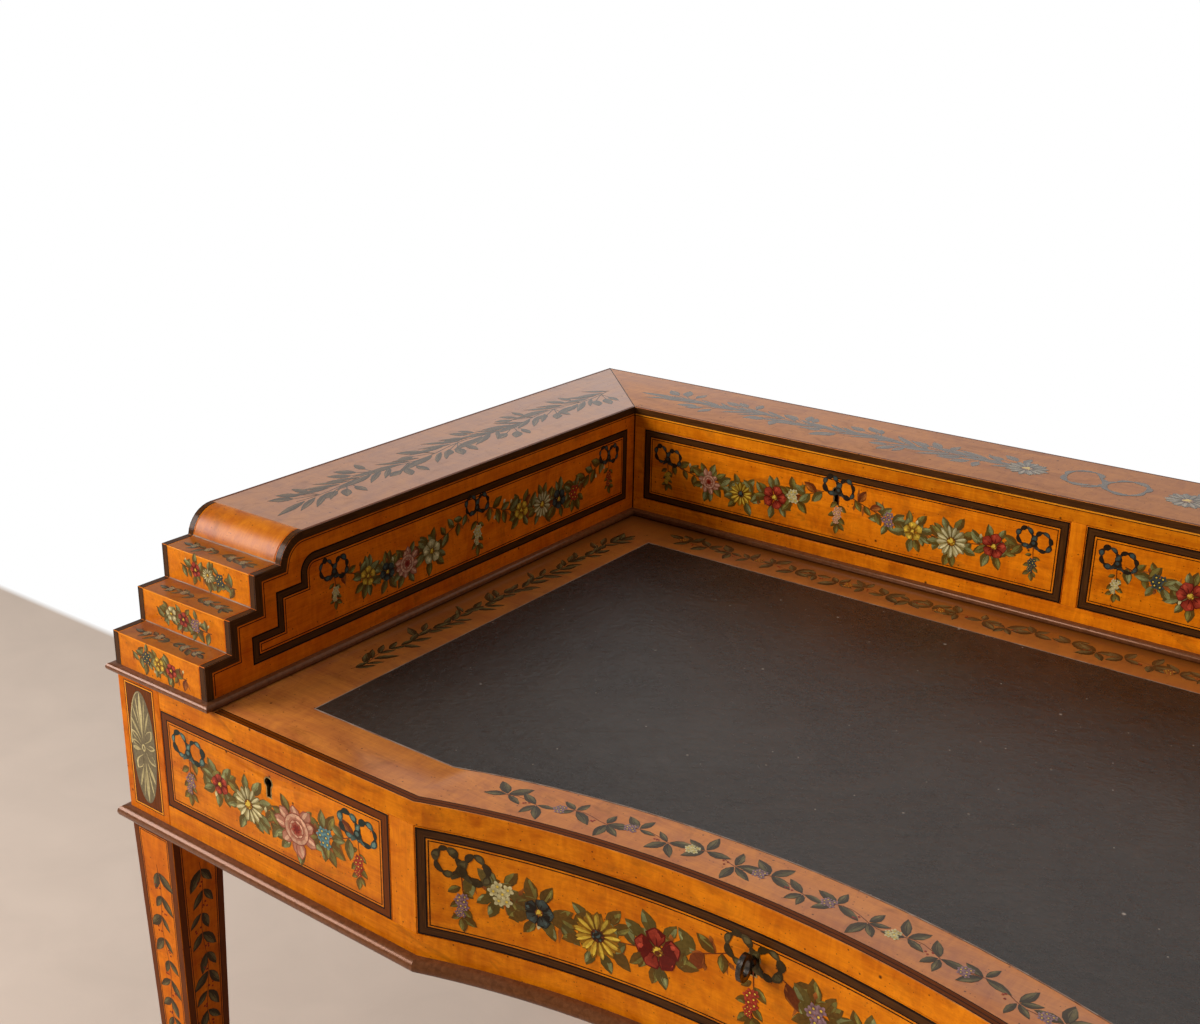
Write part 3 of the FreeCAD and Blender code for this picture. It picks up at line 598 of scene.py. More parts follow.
class RecessBorder:
    """The table's border behind the hollow front: u is measured along x and v back from the edge."""

    def place(self, u, v, lift):
        angle = math.asin(u * mm / recess_radius)
        radius = recess_radius + v * mm
        return Vector((radius * math.sin(angle), recess_centre_y + radius * math.cos(angle),
                       writing_z + lift * mm))


class NoseFace:
    """The round end of an arm: u is measured along x from its middle and v up round the curve."""

    def __init__(self, x):
        self.x = x

    def place(self, u, v, lift):
        radius = nose_radius + lift * mm
        angle = v * mm / nose_radius
        return Vector((self.x + u * mm, nose_centre_y - radius * math.cos(angle),
                       nose_centre_z + radius * math.sin(angle) * nose_squash))


class LegFace(FlatFace):
    """One tapered face of a leg, with v running up from the ankle to the moulding."""

    def __init__(self, middle, out, block_half):
        low = middle + out * ankle_half + UP * ankle_z
        high = middle + out * block_half + UP * frieze_bottom
        super().__init__(low, Vector((-out.y, out.x, 0)), high - low)
        self.long = (high - low).length / mm
        self.foot_half = ankle_half / mm
        self.top_half = block_half / mm


def leg_faces(node):
    """The four faces of a leg: front, right, back and left."""
    low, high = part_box(node)
    middle = Vector(((low.x + high.x) / 2, (low.y + high.y) / 2, 0))
    return [LegFace(middle, out, (high.x - low.x) / 2) for out in (-BACK, RIGHT, BACK, -RIGHT)]


def drawer_face(drawer):
    """The front of a drawer, with its origin in the middle."""
    low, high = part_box(drawer + "_drawer_front")
    middle = (low + high) / 2
    if drawer == "frieze_centre":
        return RecessFace(middle.z)
    return FlatFace((middle.x, low.y, middle.z), RIGHT, UP)


def inner_face(side):
    """The inside of an arm, from the table at its front. With a flip of -side, u runs back on both arms."""
    return FlatFace((side * arm_x, front_y, writing_z), BACK * -side, UP)


def outer_face(side):
    """The outside of an arm, from the table at its front. With a flip of side, u runs back on both arms."""
    return FlatFace((side * half_width, front_y, writing_z), BACK * side, UP)


# Mesh helpers


def new_object(name, data):
    made = bpy.data.objects.new(name, data)
    bpy.context.scene.collection.objects.link(made)
    return made


def piece(bm, name, body, finishes, replaced=()):
    """A finished object from a mesh under construction, riding on its body."""
    mesh = bpy.data.meshes.new(name)
    bm.to_mesh(mesh)
    bm.free()
    for finish in finishes:
        mesh.materials.append(finish)
    mesh.shade_smooth()
    mesh.set_sharp_from_angle(angle=math.radians(25))
    made = new_object(name, mesh)
    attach(made, body)
    if replaced:
        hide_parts(*replaced)


def soften(node, finish, width, level=None, only=None):
    """A copy of a board with its edges eased, in place of the sharp one.

    level is the finish of its faces that look up, where they differ. With only, a direction, no more than the
    outward edges that run along it are eased."""
    bm = bmesh.new()
    bm.from_mesh(frame["nodes"][node].data)
    bmesh.ops.remove_doubles(bm, verts=bm.verts[:], dist=0.002 * mm)
    bmesh.ops.dissolve_limit(bm, angle_limit=math.radians(0.4), verts=bm.verts[:], edges=bm.edges[:])
    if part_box(node)[1].z > gallery_top - 0.01 * mm:
        for vert in bm.verts:
            if vert.co.z > nose_centre_z:
                vert.co.z = nose_centre_z + (vert.co.z - nose_centre_z) * nose_squash
    if width:
        arrises = [e for e in bm.edges if e.is_manifold and e.calc_face_angle() > math.radians(35)]
        if only:
            arrises = [e for e in arrises if e.is_convex
                       and abs((e.verts[1].co - e.verts[0].co).normalized().dot(only)) > 0.9]
        bmesh.ops.bevel(bm, geom=arrises, offset=width, offset_type="OFFSET", affect="EDGES", segments=2,
                        profile=0.5, material=-1, clamp_overlap=False)
    if level:
        for face in bm.faces:
            face.material_index = int(face.normal.z > 0.8)
    finishes = [finish, level] if level else [finish]
    piece(bm, node + "_eased", node_body[node], finishes, [node])


def lay(bm, face, flip, deep):
    """Lays flat work on a face as closed shells.

    Their tops keep their lift, and their undersides lie in the wood."""
    under = bm.verts[:]
    bmesh.ops.extrude_face_region(bm, geom=bm.faces[:], use_keep_orig=True)
    for vert in under:
        vert.co.z = -deep / mm
    for vert in bm.verts:
        vert.co = face.place(vert.co.x * flip, vert.co.y, vert.co.z)
    bmesh.ops.recalc_face_normals(bm, faces=bm.faces[:])


class Inlay:
    """Bands and lines let into one face."""

    def __init__(self, face, flip=1):
        self.face, self.flip = face, flip
        self.bm = bmesh.new()
        self.grain = self.bm.loops.layers.uv.new("Band")

    def rings(self, outline, widths, keep=None):
        """Rings inwards from a closed outline. keep, where given, tells which of its sides are laid."""
        corners = [self.bm.verts.new((u, v, 0)) for u, v in outline]
        ground = self.bm.faces.new(corners)
        ground.normal_update()
        dropped = []
        for width, finish in widths:
            ring = bmesh.ops.inset_region(self.bm, faces=[ground], thickness=width / mm, use_boundary=True,
                                          use_even_offset=True)["faces"]
            for band in ring:
                band.material_index = finish or 0
                if finish is GAP or (keep and self.side_of(band, outline) not in keep):
                    dropped.append(band)
        bmesh.ops.delete(self.bm, geom=dropped + [ground], context="FACES")

    def side_of(self, band, outline):
        """Which side of the outline a band runs along."""
        middle = band.calc_center_median()

        def distance(number):
            a = Vector((*outline[number], 0))
            b = Vector((*outline[(number + 1) % len(outline)], 0))
            along = (b - a).normalized()
            t = min(max((middle - a).dot(along), 0), (b - a).length)
            return (middle - a - along * t).length

        return min(range(len(outline)), key=distance)

    def strip(self, u0, v0, u1, v1, finish):
        """A straight strip from one corner to the other."""
        made = bmesh.ops.create_grid(self.bm, x_segments=1, y_segments=1, size=0.5)["verts"]
        for vert in made:
            vert.co.x = u0 + (vert.co.x + 0.5) * (u1 - u0)
            vert.co.y = v0 + (vert.co.y + 0.5) * (v1 - v0)
        for band in {f for vert in made for f in vert.link_faces}:
            band.material_index = finish

    def slice(self, axis, step):
        """Cuts the work across at even steps, so that it can follow a curve."""
        values = [vert.co[axis] for vert in self.bm.verts]
        low, high = min(values), max(values)
        cuts = int((high - low) / step)
        normal = Vector((0, 0, 0))
        normal[axis] = 1
        for number in range(1, cuts):
            at = Vector((0, 0, 0))
            at[axis] = low + (high - low) * number / cuts
            bmesh.ops.bisect_plane(self.bm, geom=self.bm.verts[:] + self.bm.edges[:] + self.bm.faces[:],
                                   plane_co=at, plane_no=normal, dist=0.001)

    def fit(self, name, body="carcase"):
        """Lays the work on its face and makes it a piece."""
        inlay = bpy.context.scene.desk_inlay
        for band in self.bm.faces:
            longest = max(band.edges, key=lambda e: e.calc_length())
            along = (longest.verts[1].co - longest.verts[0].co).normalized()
            across = Vector((-along.y, along.x, 0))
            for loop in band.loops:
                loop[self.grain].uv = (loop.vert.co.dot(along) * mm, loop.vert.co.dot(across) * mm)
        for vert in self.bm.verts:
            vert.co.z = inlay.proud / mm
        lay(self.bm, self.face, self.flip, inlay.deep)
        piece(self.bm, name, body, [band_wood(*wood) for wood in INLAY_WOODS])


# Painting

# How much higher each stroke lies than the one before it, in millimetres
STROKE_LIFT = 0.004


def tones(name):
    """The shaded and the lit colour of a paint."""
    paints = bpy.context.scene.desk_paint
    return Vector(getattr(paints, name + "_shade")), Vector(getattr(paints, name))


def away(angle, reach=1.0):
    """A step of some reach along an angle."""
    return Vector((math.cos(angle), math.sin(angle))) * reach


class Brush:
    """Strokes of paint on one face, in millimetres on that face."""

    def __init__(self, face, seed, flip=1):
        self.face, self.flip = face, flip
        self.dice = random.Random(bpy.context.scene.desk_stage.seed * 1000 + seed)
        self.bm = bmesh.new()
        self.tint = self.bm.verts.layers.float_color.new("Paint")
        self.lift = 0.05

    def near(self, value, share):
        """A value that strays by no more than that share of it."""
        return value * (1 + self.dice.uniform(-share, share))

    def layer(self, lift):
        """Starts the next strokes at that lift, or a little over it."""
        self.lift = lift + self.dice.uniform(0, STROKE_LIFT)

    def shade(self, vert, tint):
        vert[self.tint] = (*tint, 1.0)

    def dab(self, at, angle, long, wide, base, tip, full=0.5, bend=0.0, segments=8):
        """One pressed stroke from a point along the angle, widest at the full share of its length."""
        self.lift += STROKE_LIFT
        light = self.dice.uniform(0.86, 1.14)
        power = math.log(0.5) / math.log(full)
        ahead, aside = away(angle), away(angle + quarter)
        for vert in bmesh.ops.create_circle(self.bm, cap_ends=True, radius=1, segments=segments)["verts"]:
            t = (1 + vert.co.x) / 2
            swell = math.sin(math.pi * max(t, 0.0) ** power)
            side = math.copysign(swell * wide / 2, vert.co.y) if swell > 1e-6 else 0.0
            spot = at + ahead * (t * long) + aside * (side + bend * long * t * t)
            vert.co = (spot.x, spot.y, self.lift)
            self.shade(vert, base.lerp(tip, t) * light)

    def dot(self, at, radius, tint, segments=8, stretch=1.0):
        """A round or, with a stretch upwards, an oval spot."""
        self.lift += STROKE_LIFT
        made = bmesh.ops.create_circle(self.bm, cap_ends=True, radius=radius, segments=segments)["verts"]
        for vert in made:
            vert.co = (at.x + vert.co.x, at.y + vert.co.y * stretch, self.lift)
            self.shade(vert, tint)

    def trail(self, points, widths, base, tip):
        """A drawn line of changing width through the points."""
        self.lift += STROKE_LIFT
        last = len(points) - 1
        edge = None
        for number, (u, v) in enumerate(points):
            before, after = points[max(number - 1, 0)], points[min(number + 1, last)]
            along = Vector((after[0] - before[0], after[1] - before[1])).normalized()
            half = widths(number / last) / 2
            ends = [(u - along.y * half, v + along.x * half), (u + along.y * half, v - along.x * half)]
            if edge is None:
                verts = [self.bm.verts.new() for end in ends]
                edge = self.bm.edges.new(verts)
            else:
                made = bmesh.ops.extrude_edge_only(self.bm, edges=[edge])["geom"]
                edge = next(e for e in made if isinstance(e, bmesh.types.BMEdge))
                old = list(verts)
                verts = sorted(edge.verts, key=lambda w: (w.co - old[0].co).length)
            for vert, (x, y) in zip(verts, ends):
                vert.co = (x, y, self.lift)
                self.shade(vert, base.lerp(tip, number / last))

    def finish(self, name, body="carcase", face_kind="front"):
        """Lays the strokes on the face as thin closed shells."""
        lay(self.bm, self.face, self.flip, bpy.context.scene.desk_paint.deep)
        piece(self.bm, name, body, [paint(face_kind)])


# Motifs, each painted at a point of the brush's face


def leaf(brush, at, angle, long, tone, wide=0.56):
    """A leaf in a dark tone, with a lit half, a bright touch on it and a fine dark rib."""
    shade, light = tones(tone)
    bend = brush.dice.uniform(-0.16, 0.16)
    side = 1 if brush.dice.random() < 0.5 else -1
    broad = long * wide
    ahead, aside = away(angle, long), away(angle + quarter, side * broad)
    brush.dab(at, angle, long, broad, shade, shade * 1.3, 0.46, bend, 12)
    brush.dab(at + ahead * 0.1 + aside * 0.15, angle, long * 0.82, broad * 0.56, shade.lerp(light, 0.5),
              light, 0.5, bend * 0.9, 10)
    if brush.dice.random() < 0.65:
        brush.dab(at + ahead * 0.32 + aside * 0.24, angle, long * 0.46, broad * 0.2, light, light * 1.6,
                  0.5, bend * 0.7, 6)
    brush.dab(at + ahead * 0.05, angle, long * 0.75, long * 0.035, shade * 0.7, shade, 0.4, bend * 0.95, 6)


def eye(brush, at, radius, tone):
    """The middle of a flower: a dark ring, a bright boss and a few grains."""
    shade, light = tones(tone)
    dark = tones("rust")[0]
    brush.dot(at, radius * 1.18, dark * 0.8, 10)
    brush.dot(at, radius, shade, 10)
    brush.dot(at + Vector((-0.15, 0.2)) * radius, radius * 0.62, light)
    for grain in range(6):
        spot = at + away(grain + brush.dice.random(), radius * 0.8)
        brush.dot(spot, radius * 0.2, light if grain % 2 else dark, 6)


def daisy(brush, at, radius, tone, petals=13):
    """A flower of many narrow petals in rows, dimmer in its upper half."""
    shade, light = tones(tone)
    turn = brush.dice.random()
    middle = shade.lerp(light, 0.5)
    start = radius * 0.16
    rows = ((0.5, 0.9, 0.27, shade * 0.5, shade), (0.0, 1.02, 0.34, shade * 0.5, shade * 0.8),
            (0.0, 0.98, 0.24, shade, middle), (0.1, 0.93, 0.15, middle, light * 1.1))
    for shift, reach, width, base, tip in rows:
        for number in range(petals):
            angle = turn + math.tau * (number + shift) / petals + brush.dice.uniform(-0.07, 0.07)
            dim = 1 - 0.3 * max(math.sin(angle), 0)
            brush.dab(at + away(angle, start), angle, brush.near(radius * reach - start, 0.08),
                      radius * width, base * dim, tip * dim, 0.66)
    eye(brush, at, radius * 0.25, "blue" if tone == "yellow" else "yellow")


def five(brush, at, radius, tone, petals=5):
    """An open flower of a few broad petals, each edged in shade and lit towards its rim."""
    shade, light = tones(tone)
    turn = brush.dice.random()
    for number in range(petals):
        angle = turn + math.tau * number / petals + brush.dice.uniform(-0.1, 0.1)
        ahead = away(angle)
        long = brush.near(radius, 0.08)
        brush.dab(at, angle, long * 1.05, radius * 1.02, shade * 0.55, shade * 0.7, 0.66, 0, 12)
        brush.dab(at + ahead, angle, long * 0.94, radius * 0.86, shade * 0.8, shade.lerp(light, 0.6),
                  0.67, 0, 12)
        for lean, glow in ((-0.3, 0.85), (0.3, 1.25)):
            brush.dab(at + ahead * radius * 0.36, angle + lean, long * 0.55, radius * 0.32,
                      shade.lerp(light, 0.3), light * glow, 0.62)
        brush.dab(at + ahead * radius * 0.2, angle, long * 0.5, radius * 0.09, shade * 0.4, shade * 0.8,
                  0.4, 0, 6)
    eye(brush, at, radius * 0.23, "yellow")


def rose(brush, at, radius, tone):
    """A full rose: loose outer petals, a round cup with a lit rim and a dark heart."""
    shade, light = tones(tone)
    turn = brush.dice.random()
    heart, glow = tones("red")
    middle = shade.lerp(light, 0.4)
    for number in range(9):
        angle = turn + math.tau * number / 9 + brush.dice.uniform(-0.25, 0.25)
        long = radius * brush.dice.uniform(0.6, 1.1)
        bend = brush.dice.uniform(-0.2, 0.2)
        spot = at + away(angle, radius * 0.3)
        brush.dab(spot, angle, long, radius * 0.62, shade * 0.8, shade, 0.6, bend, 12)
        brush.dab(spot, angle, long * 0.95, radius * 0.5, shade, middle, 0.62, bend, 12)
        spot = at + away(angle, radius * 0.5)
        brush.dab(spot, angle + 0.12, long * 0.68, radius * 0.2, middle, light, 0.66, bend)
    for reach, ground, touches in ((0.72, shade.lerp(light, 0.2), 11), (0.42, shade, 8)):
        cup = radius * reach
        brush.dot(at, cup, shade * 0.8, 20)
        brush.dot(at, cup * 0.94, ground, 20)
        for number in range(touches):
            angle = turn + math.tau * (number + brush.dice.uniform(-0.2, 0.2)) / touches
            brush.dab(at + away(angle, cup * 0.8), angle + quarter, cup * 0.66, cup * 0.26, middle,
                      light * brush.dice.uniform(0.7, 1.15), 0.5, 0.3)
    brush.dot(at, radius * 0.2, heart, 10)
    for number in range(7):
        angle = math.tau * number / 7
        brush.dab(at + away(angle, radius * 0.08), angle + 0.9, radius * 0.24, radius * 0.09, heart, glow,
                  0.5, 0.3, 6)


def posy(brush, at, radius, tone):
    """A cluster of small blossoms."""
    shade, light = tones(tone)
    for number in range(6):
        angle = math.tau * number / 6 + brush.dice.uniform(-0.3, 0.3)
        spot = at + away(angle, radius * (0.6 if number else 0.05))
        for petal in range(5):
            brush.dab(spot, math.tau * petal / 5 + number, radius * 0.44, radius * 0.34, shade, light, 0.62)
        brush.dot(spot, radius * 0.1, tones("yellow")[1], 6)


FLOWERS = {"daisy": daisy, "five": five, "rose": rose, "posy": posy}


def bud(brush, at, angle, long, tone):
    """A bud on a short stalk."""
    shade, light = tones(tone)
    stem = tones("rust")[0]
    brush.trail([at, at + away(angle, long)], lambda t: 0.5, stem, stem)
    brush.dab(at + away(angle, long * 0.8), angle, long * 0.7, long * 0.42, shade, light)


def berries(brush, at, size):
    """A few small berries."""
    shade, light = tones("red")
    for number in range(3):
        spot = at + Vector((brush.dice.uniform(-0.16, 0.16), brush.dice.uniform(-0.16, 0.16))) * size
        brush.dot(spot, size * 0.055, shade.lerp(light, 0.4 * brush.dice.random()), 6)


# A bow as shares of its size: the folds of a loop from the knot round to the knot again, and a tail
LOOP_FOLDS = ((0, 0), (0.14, 0.46), (0.42, 0.7), (0.76, 0.56), (0.87, 0.18), (0.66, -0.2), (0.28, -0.18),
              (0, 0))
BOW_TAIL = ((0, 0), (0.16, -0.2), (0.34, -0.34))


def bow(brush, at, size, tone="ribbon", wide=0.26):
    """Two loops of ribbon, drawn from fold to fold and lit on every second stretch, a knot and two tails."""
    shade, light = tones(tone)
    for side in (-1, 1):
        folds = []
        for x, y in LOOP_FOLDS:
            stray = 0.05 if x else 0.0
            across = side * (x + brush.dice.uniform(-stray, stray))
            upward = y - side * x * 0.12 + brush.dice.uniform(-stray, stray)
            folds.append(at + Vector((across, upward)) * size)
        for number, (a, b) in enumerate(zip(folds, folds[1:])):
            bulge = Vector((a.y - b.y, b.x - a.x)) * (side * 0.16)
            points = [a.lerp(b, k / 6) + bulge * math.sin(math.pi * k / 6) for k in range(7)]
            swell = brush.near(wide, 0.3) * size
            lit = (number + (side > 0)) % 2
            brush.trail(points, lambda t: swell * (0.42 + 0.6 * math.sin(math.pi * t)), shade,
                        shade.lerp(light, 0.4 * lit))
            if lit:
                brush.trail(points[1:6], lambda t: swell * 0.7 * math.sin(math.pi * t) + 0.1, light * 0.75,
                            light)
        tail = [at + Vector((side * x, y)) * size for x, y in BOW_TAIL]
        brush.trail(tail, lambda t: size * wide * (0.9 - 0.6 * t), shade, shade.lerp(light, 0.5))
    brush.dot(at, size * wide * 0.8, shade)
    brush.dot(at + Vector((-0.02, 0.03)) * size, size * wide * 0.4, shade.lerp(light, 0.6), 6)


# The leaves of a pendant: how far down each grows, as a share of the drop, and on which side
PENDANT_LEAVES = ((0.22, -1), (0.3, 1), (0.52, -1), (0.62, 1), (0.76, -1), (0.8, 1))


def pendant(brush, at, drop, tone):
    """A short spray that hangs below a bow."""
    stem = tones("rust")[0]
    brush.layer(0.06)
    brush.trail([at, at + Vector((0.04, -0.5)) * drop, at - Vector((0, drop))], lambda t: 0.9 - 0.4 * t, stem,
                stem * 1.5)
    for order, (share, side) in enumerate(PENDANT_LEAVES):
        brush.layer(0.06 + order * 0.02)
        leaf(brush, at + Vector((side * 0.8, -drop * share)),
             math.radians(-90 + side * brush.dice.uniform(38, 70)), brush.near(drop * 0.25, 0.2), "leaf")
    leaf(brush, at - Vector((0, drop * 0.82)), -quarter + brush.dice.uniform(-0.2, 0.2), drop * 0.3, "leaf")
    brush.layer(0.2)
    posy(brush, at + Vector((0.03, -0.5)) * drop, drop * 0.17, tone)
    posy(brush, at + Vector((-0.02, -0.72)) * drop, drop * 0.11, tone)


def swag(brush, start, end, sag, flowers, size):
    """A hanging garland: a stem with leaves on both sides, flowers with leaves round them, and buds."""
    stem, turned = tones("rust")
    leaves = ("leaf", "sage")
    start, end = Vector(start), Vector(end)

    def at(t):
        return start.lerp(end, t) - Vector((0, sag * 4 * t * (1 - t)))

    steps = 24
    brush.layer(0.05)
    brush.trail([at(number / steps) for number in range(steps + 1)], lambda t: 0.9, stem, stem * 1.4)
    count = int((end - start).length / (size * 0.4))
    for number in range(count):
        t = (number + 0.5 + brush.dice.uniform(-0.3, 0.3)) / count
        along = at(min(t + 0.02, 1)) - at(max(t - 0.02, 0))
        heading = math.atan2(along.y, along.x) + (math.pi if t > 0.5 else 0)
        side = 1 if number % 2 else -1
        turn = heading + side * math.radians(brush.dice.uniform(30, 75))
        spot = at(t)
        brush.layer(0.05)
        brush.dab(spot, turn + brush.dice.uniform(-0.9, 0.9), brush.near(size * 0.8, 0.3), size * 0.2,
                  stem * 1.6, turned, 0.4)
        tone = "rust" if brush.dice.random() < 0.1 else brush.dice.choice(leaves)
        brush.layer(0.06 + number % 6 * 0.02)
        leaf(brush, spot, turn, brush.near(size, 0.22), tone)
        if brush.dice.random() < 0.3:
            bud(brush, spot, turn + side * 0.7, size * 0.5, brush.dice.choice(("rust", "cream", "rust")))
    for kind, u, v, radius, tone in flowers:
        around = 5 if radius < 9 else 8
        for number in range(around):
            angle = math.tau * (number + brush.dice.uniform(0.1, 0.9)) / around
            brush.layer(0.08 + number % 5 * 0.02)
            leaf(brush, Vector((u, v)) + away(angle, radius * 0.7), angle, brush.near(size, 0.15),
                 brush.dice.choice(leaves))
    for kind, u, v, radius, tone in flowers:
        brush.layer(0.2)
        FLOWERS[kind](brush, Vector((u, v)), radius, tone)


# Angles of the leaves of one sprig after another, in degrees from the line that they grow on
ROSETTES = ((40, 115, 175, -35), (-50, 25, -110, 165), (60, -30, -150, 140), (-20, 35, -75, 100))
NARROW_PAIRS = ((-18, 30), (-38, 20), (-24, 40))
LEG_SPRIGS = ((-34, 30), (-30, 36), (-36, 28))


def wave(start, end, height, steps, level=0.0):
    """Points of a wavy line along u."""
    return [(start + (end - start) * k / steps, level + height * math.sin(k * 0.9)) for k in range(steps + 1)]


def leaf_trail(brush, points, size, gap, tone, sprigs, blossoms=(), wide=0.42):
    """A running spray along some points: sprigs of leaves, with small blossoms or berries between them."""
    stem = tones("rust")[0]
    line = [Vector(p) for p in points]
    lengths = [(b - a).length for a, b in zip(line, line[1:])]
    brush.layer(0.05)
    brush.trail(points, lambda t: 0.6, stem, stem)

    def at(distance):
        for a, b, long in zip(line, line[1:], lengths):
            if distance <= long:
                return a.lerp(b, distance / long), math.atan2(b.y - a.y, b.x - a.x)
            distance -= long
        return line[-1], math.atan2(line[-1].y - line[-2].y, line[-1].x - line[-2].x)

    total = sum(lengths)
    number = 0
    done = gap * 0.3
    while done < total:
        spot, heading = at(done)
        for order, lean in enumerate(sprigs[number % len(sprigs)]):
            brush.layer(0.06 + order * 0.02)
            turn = heading + math.radians(lean + brush.dice.uniform(-10, 10))
            leaf(brush, spot + away(turn, size * 0.06), turn, brush.near(size, 0.22), tone,
                 brush.near(wide, 0.15))
        between, heading = at(done + gap * 0.7)
        brush.layer(0.14)
        kind = blossoms[number % len(blossoms)] if blossoms else None
        if kind == "berries":
            aside = size * (0.2 if number % 2 else -0.2)
            berries(brush, between + away(heading + quarter, aside), size)
        elif kind:
            posy(brush, between, size * 0.36, kind)
        done += brush.near(gap, 0.12)
        number += 1
    spot, heading = at(total)
    leaf(brush, spot, heading, size * 1.1, tone, wide)


# The leaves at each fork of a spray: lean, length and how far ahead for the fan; lean, stalk and length for
# the others; and the gap from fork to fork
SPRAY_FAN = ((14, 44, 20), (19, 42, 7), (25, 38, -6), (33, 30, -18))
SPRAY_STALKS = ((24, 24, 22), (48, 17, 22), (76, 12, 18))
SPRAY_GAP = 37


def spray(brush, start, end, way=1):
    """A running branch: a fan of narrow leaves on one side and leaves on stalks on the other, in turn."""
    stem = tones("grey")[0]
    steps = 3 * max(int((end - start) / SPRAY_GAP), 2)
    points = [Vector(((start + (end - start) * k / steps) * way, 4 * math.sin(k * 0.6)))
              for k in range(steps + 1)]
    brush.layer(0.05)
    brush.trail(points, lambda t: 1.4 - 0.6 * t, stem, stem)
    heading = 0.0 if way > 0 else math.pi
    for number, fork in enumerate(points[1::3]):
        side = way * (1 if number % 2 else -1)
        for order, (lean, long, ahead) in enumerate(SPRAY_FAN):
            brush.layer(0.06 + order * 0.02)
            turn = heading + side * math.radians(brush.near(lean, 0.2))
            leaf(brush, fork + Vector((way * ahead, side * 2)), turn, brush.near(long, 0.12), "grey", 0.19)
        for order, (lean, stalk, long) in enumerate(SPRAY_STALKS):
            brush.layer(0.06 + order * 0.02)
            turn = heading - side * math.radians(brush.near(lean, 0.15))
            tip = fork + away(turn, stalk)
            brush.trail([fork, tip], lambda t: 1.0, stem, stem)
            leaf(brush, tip, turn + brush.dice.uniform(-0.3, 0.3), brush.near(long, 0.12), "grey", 0.5)


# The ornament of each face, in millimetres from the middle of a drawer or from the origin of its face

FRIEZE_BOWS = {"bows": ((-100, 16), (100, 16)), "size": 21.0, "leaf": 17.0}
GALLERY_BOWS = {"bows": ((-203, 11), (2, 20), (203, 12)), "size": 18.0, "leaf": 15.0, "ribbon": "blue"}
SWAGS = {
    "frieze_left": {
        **FRIEZE_BOWS, "pendants": (("purple", 42), ("red", 41)),
        "swags": [((-98, 14), (100, 14), 26, [
            ("five", -61, 1, 10, "red"), ("daisy", -26, -5, 17, "cream"), ("rose", 31, -6, 20, "pink"),
            ("posy", 64, -1, 10, "teal")])]},
    "frieze_right": {
        **FRIEZE_BOWS, "pendants": (("cream", 42), ("purple", 41)),
        "swags": [((-100, 14), (98, 14), 26, [
            ("posy", -64, -1, 10, "blue"), ("rose", -31, -6, 20, "pink"), ("daisy", 26, -5, 17, "yellow"),
            ("five", 61, 1, 10, "purple")])]},
    "frieze_centre": {
        "bows": ((-226, 16), (0, 21), (226, 16)), "size": 23.0, "leaf": 18.0, "ribbon": "dusk",
        "pendants": (("purple", 43), ("red", 48), ("pink", 43)),
        "swags": [((-224, 15), (-20, 20), 24, [
            ("posy", -195, 5, 11, "cream"), ("five", -166, -2, 12, "blue"), ("daisy", -120, -6, 19, "yellow"),
            ("five", -73, -1, 17, "red")]),
                  ((20, 20), (224, 15), 24, [
            ("posy", 50, 4, 10, "purple"), ("rose", 86, -3, 16, "pink"), ("daisy", 134, -6, 18, "cream"),
            ("five", 172, 0, 12, "blue"), ("five", 200, 6, 9, "red")])]},
    "gallery_left": {
        **GALLERY_BOWS, "pendants": (("yellow", 29), ("pink", 38), ("blue", 30)),
        "swags": [((-196, 8), (-14, 16), 17, [
            ("rose", -150, -3, 11, "pink"), ("daisy", -110, -8, 13, "yellow"), ("five", -70, -3, 13, "red"),
            ("posy", -48, 3, 8, "cream")]),
                  ((16, 16), (197, 10), 17, [
            ("posy", 58, 2, 8, "purple"), ("five", 84, -4, 10, "yellow"), ("daisy", 124, -5, 16, "cream"),
            ("five", 166, 0, 12, "red")])]},
    "gallery_right": {
        **GALLERY_BOWS, "pendants": (("cream", 30), ("red", 38), ("purple", 29)),
        "swags": [((-196, 10), (-14, 16), 17, [
            ("posy", -166, 3, 8, "blue"), ("five", -138, -3, 13, "red"), ("daisy", -96, -6, 15, "yellow"),
            ("posy", -58, 1, 9, "purple")]),
                  ((16, 16), (197, 8), 17, [
            ("posy", 56, 2, 8, "cream"), ("rose", 92, -4, 13, "pink"), ("daisy", 132, -5, 14, "cream"),
            ("five", 168, 0, 11, "red")])]},
    "arm": {
        **GALLERY_BOWS, "bows": ((148, 75), (340, 81), (558, 77)),
        "pendants": (("cream", 29), ("cream", 42), ("red", 34)),
        "swags": [((156, 72), (326, 80), 20, [
            ("five", 189, 58, 9, "yellow"), ("five", 214, 54, 9, "blue"), ("rose", 240, 54, 13, "pink"),
            ("five", 274, 56, 12, "cream")]),
                  ((354, 78), (550, 78), 22, [
            ("five", 408, 59, 10, "yellow"), ("daisy", 442, 56, 14, "cream"), ("five", 470, 54, 11, "blue"),
            ("posy", 497, 54, 9, "red")])]},
}
RISER_FLOWERS = ((("posy", "blue"), ("five", "yellow"), ("five", "red")),
                 (("five", "cream"), ("five", "red"), ("posy", "purple")),
                 (("five", "red"), ("daisy", "cream"), ("posy", "blue")))


def paint_swags(name, face, design, body, seed, flip=1):
    """Paints the garlands of a face, then the pendants and the bows that they hang from."""
    brush = Brush(face, seed, flip)
    for start, end, sag, flowers in design["swags"]:
        swag(brush, start, end, sag, flowers, design["leaf"])
    for place, (tone, drop) in zip(design["bows"], design["pendants"]):
        knot = Vector(place)
        pendant(brush, knot - Vector((0, 4)), drop, tone)
        brush.layer(0.2)
        bow(brush, knot, design["size"], design.get("ribbon", "ribbon"))
    brush.finish(name, body)


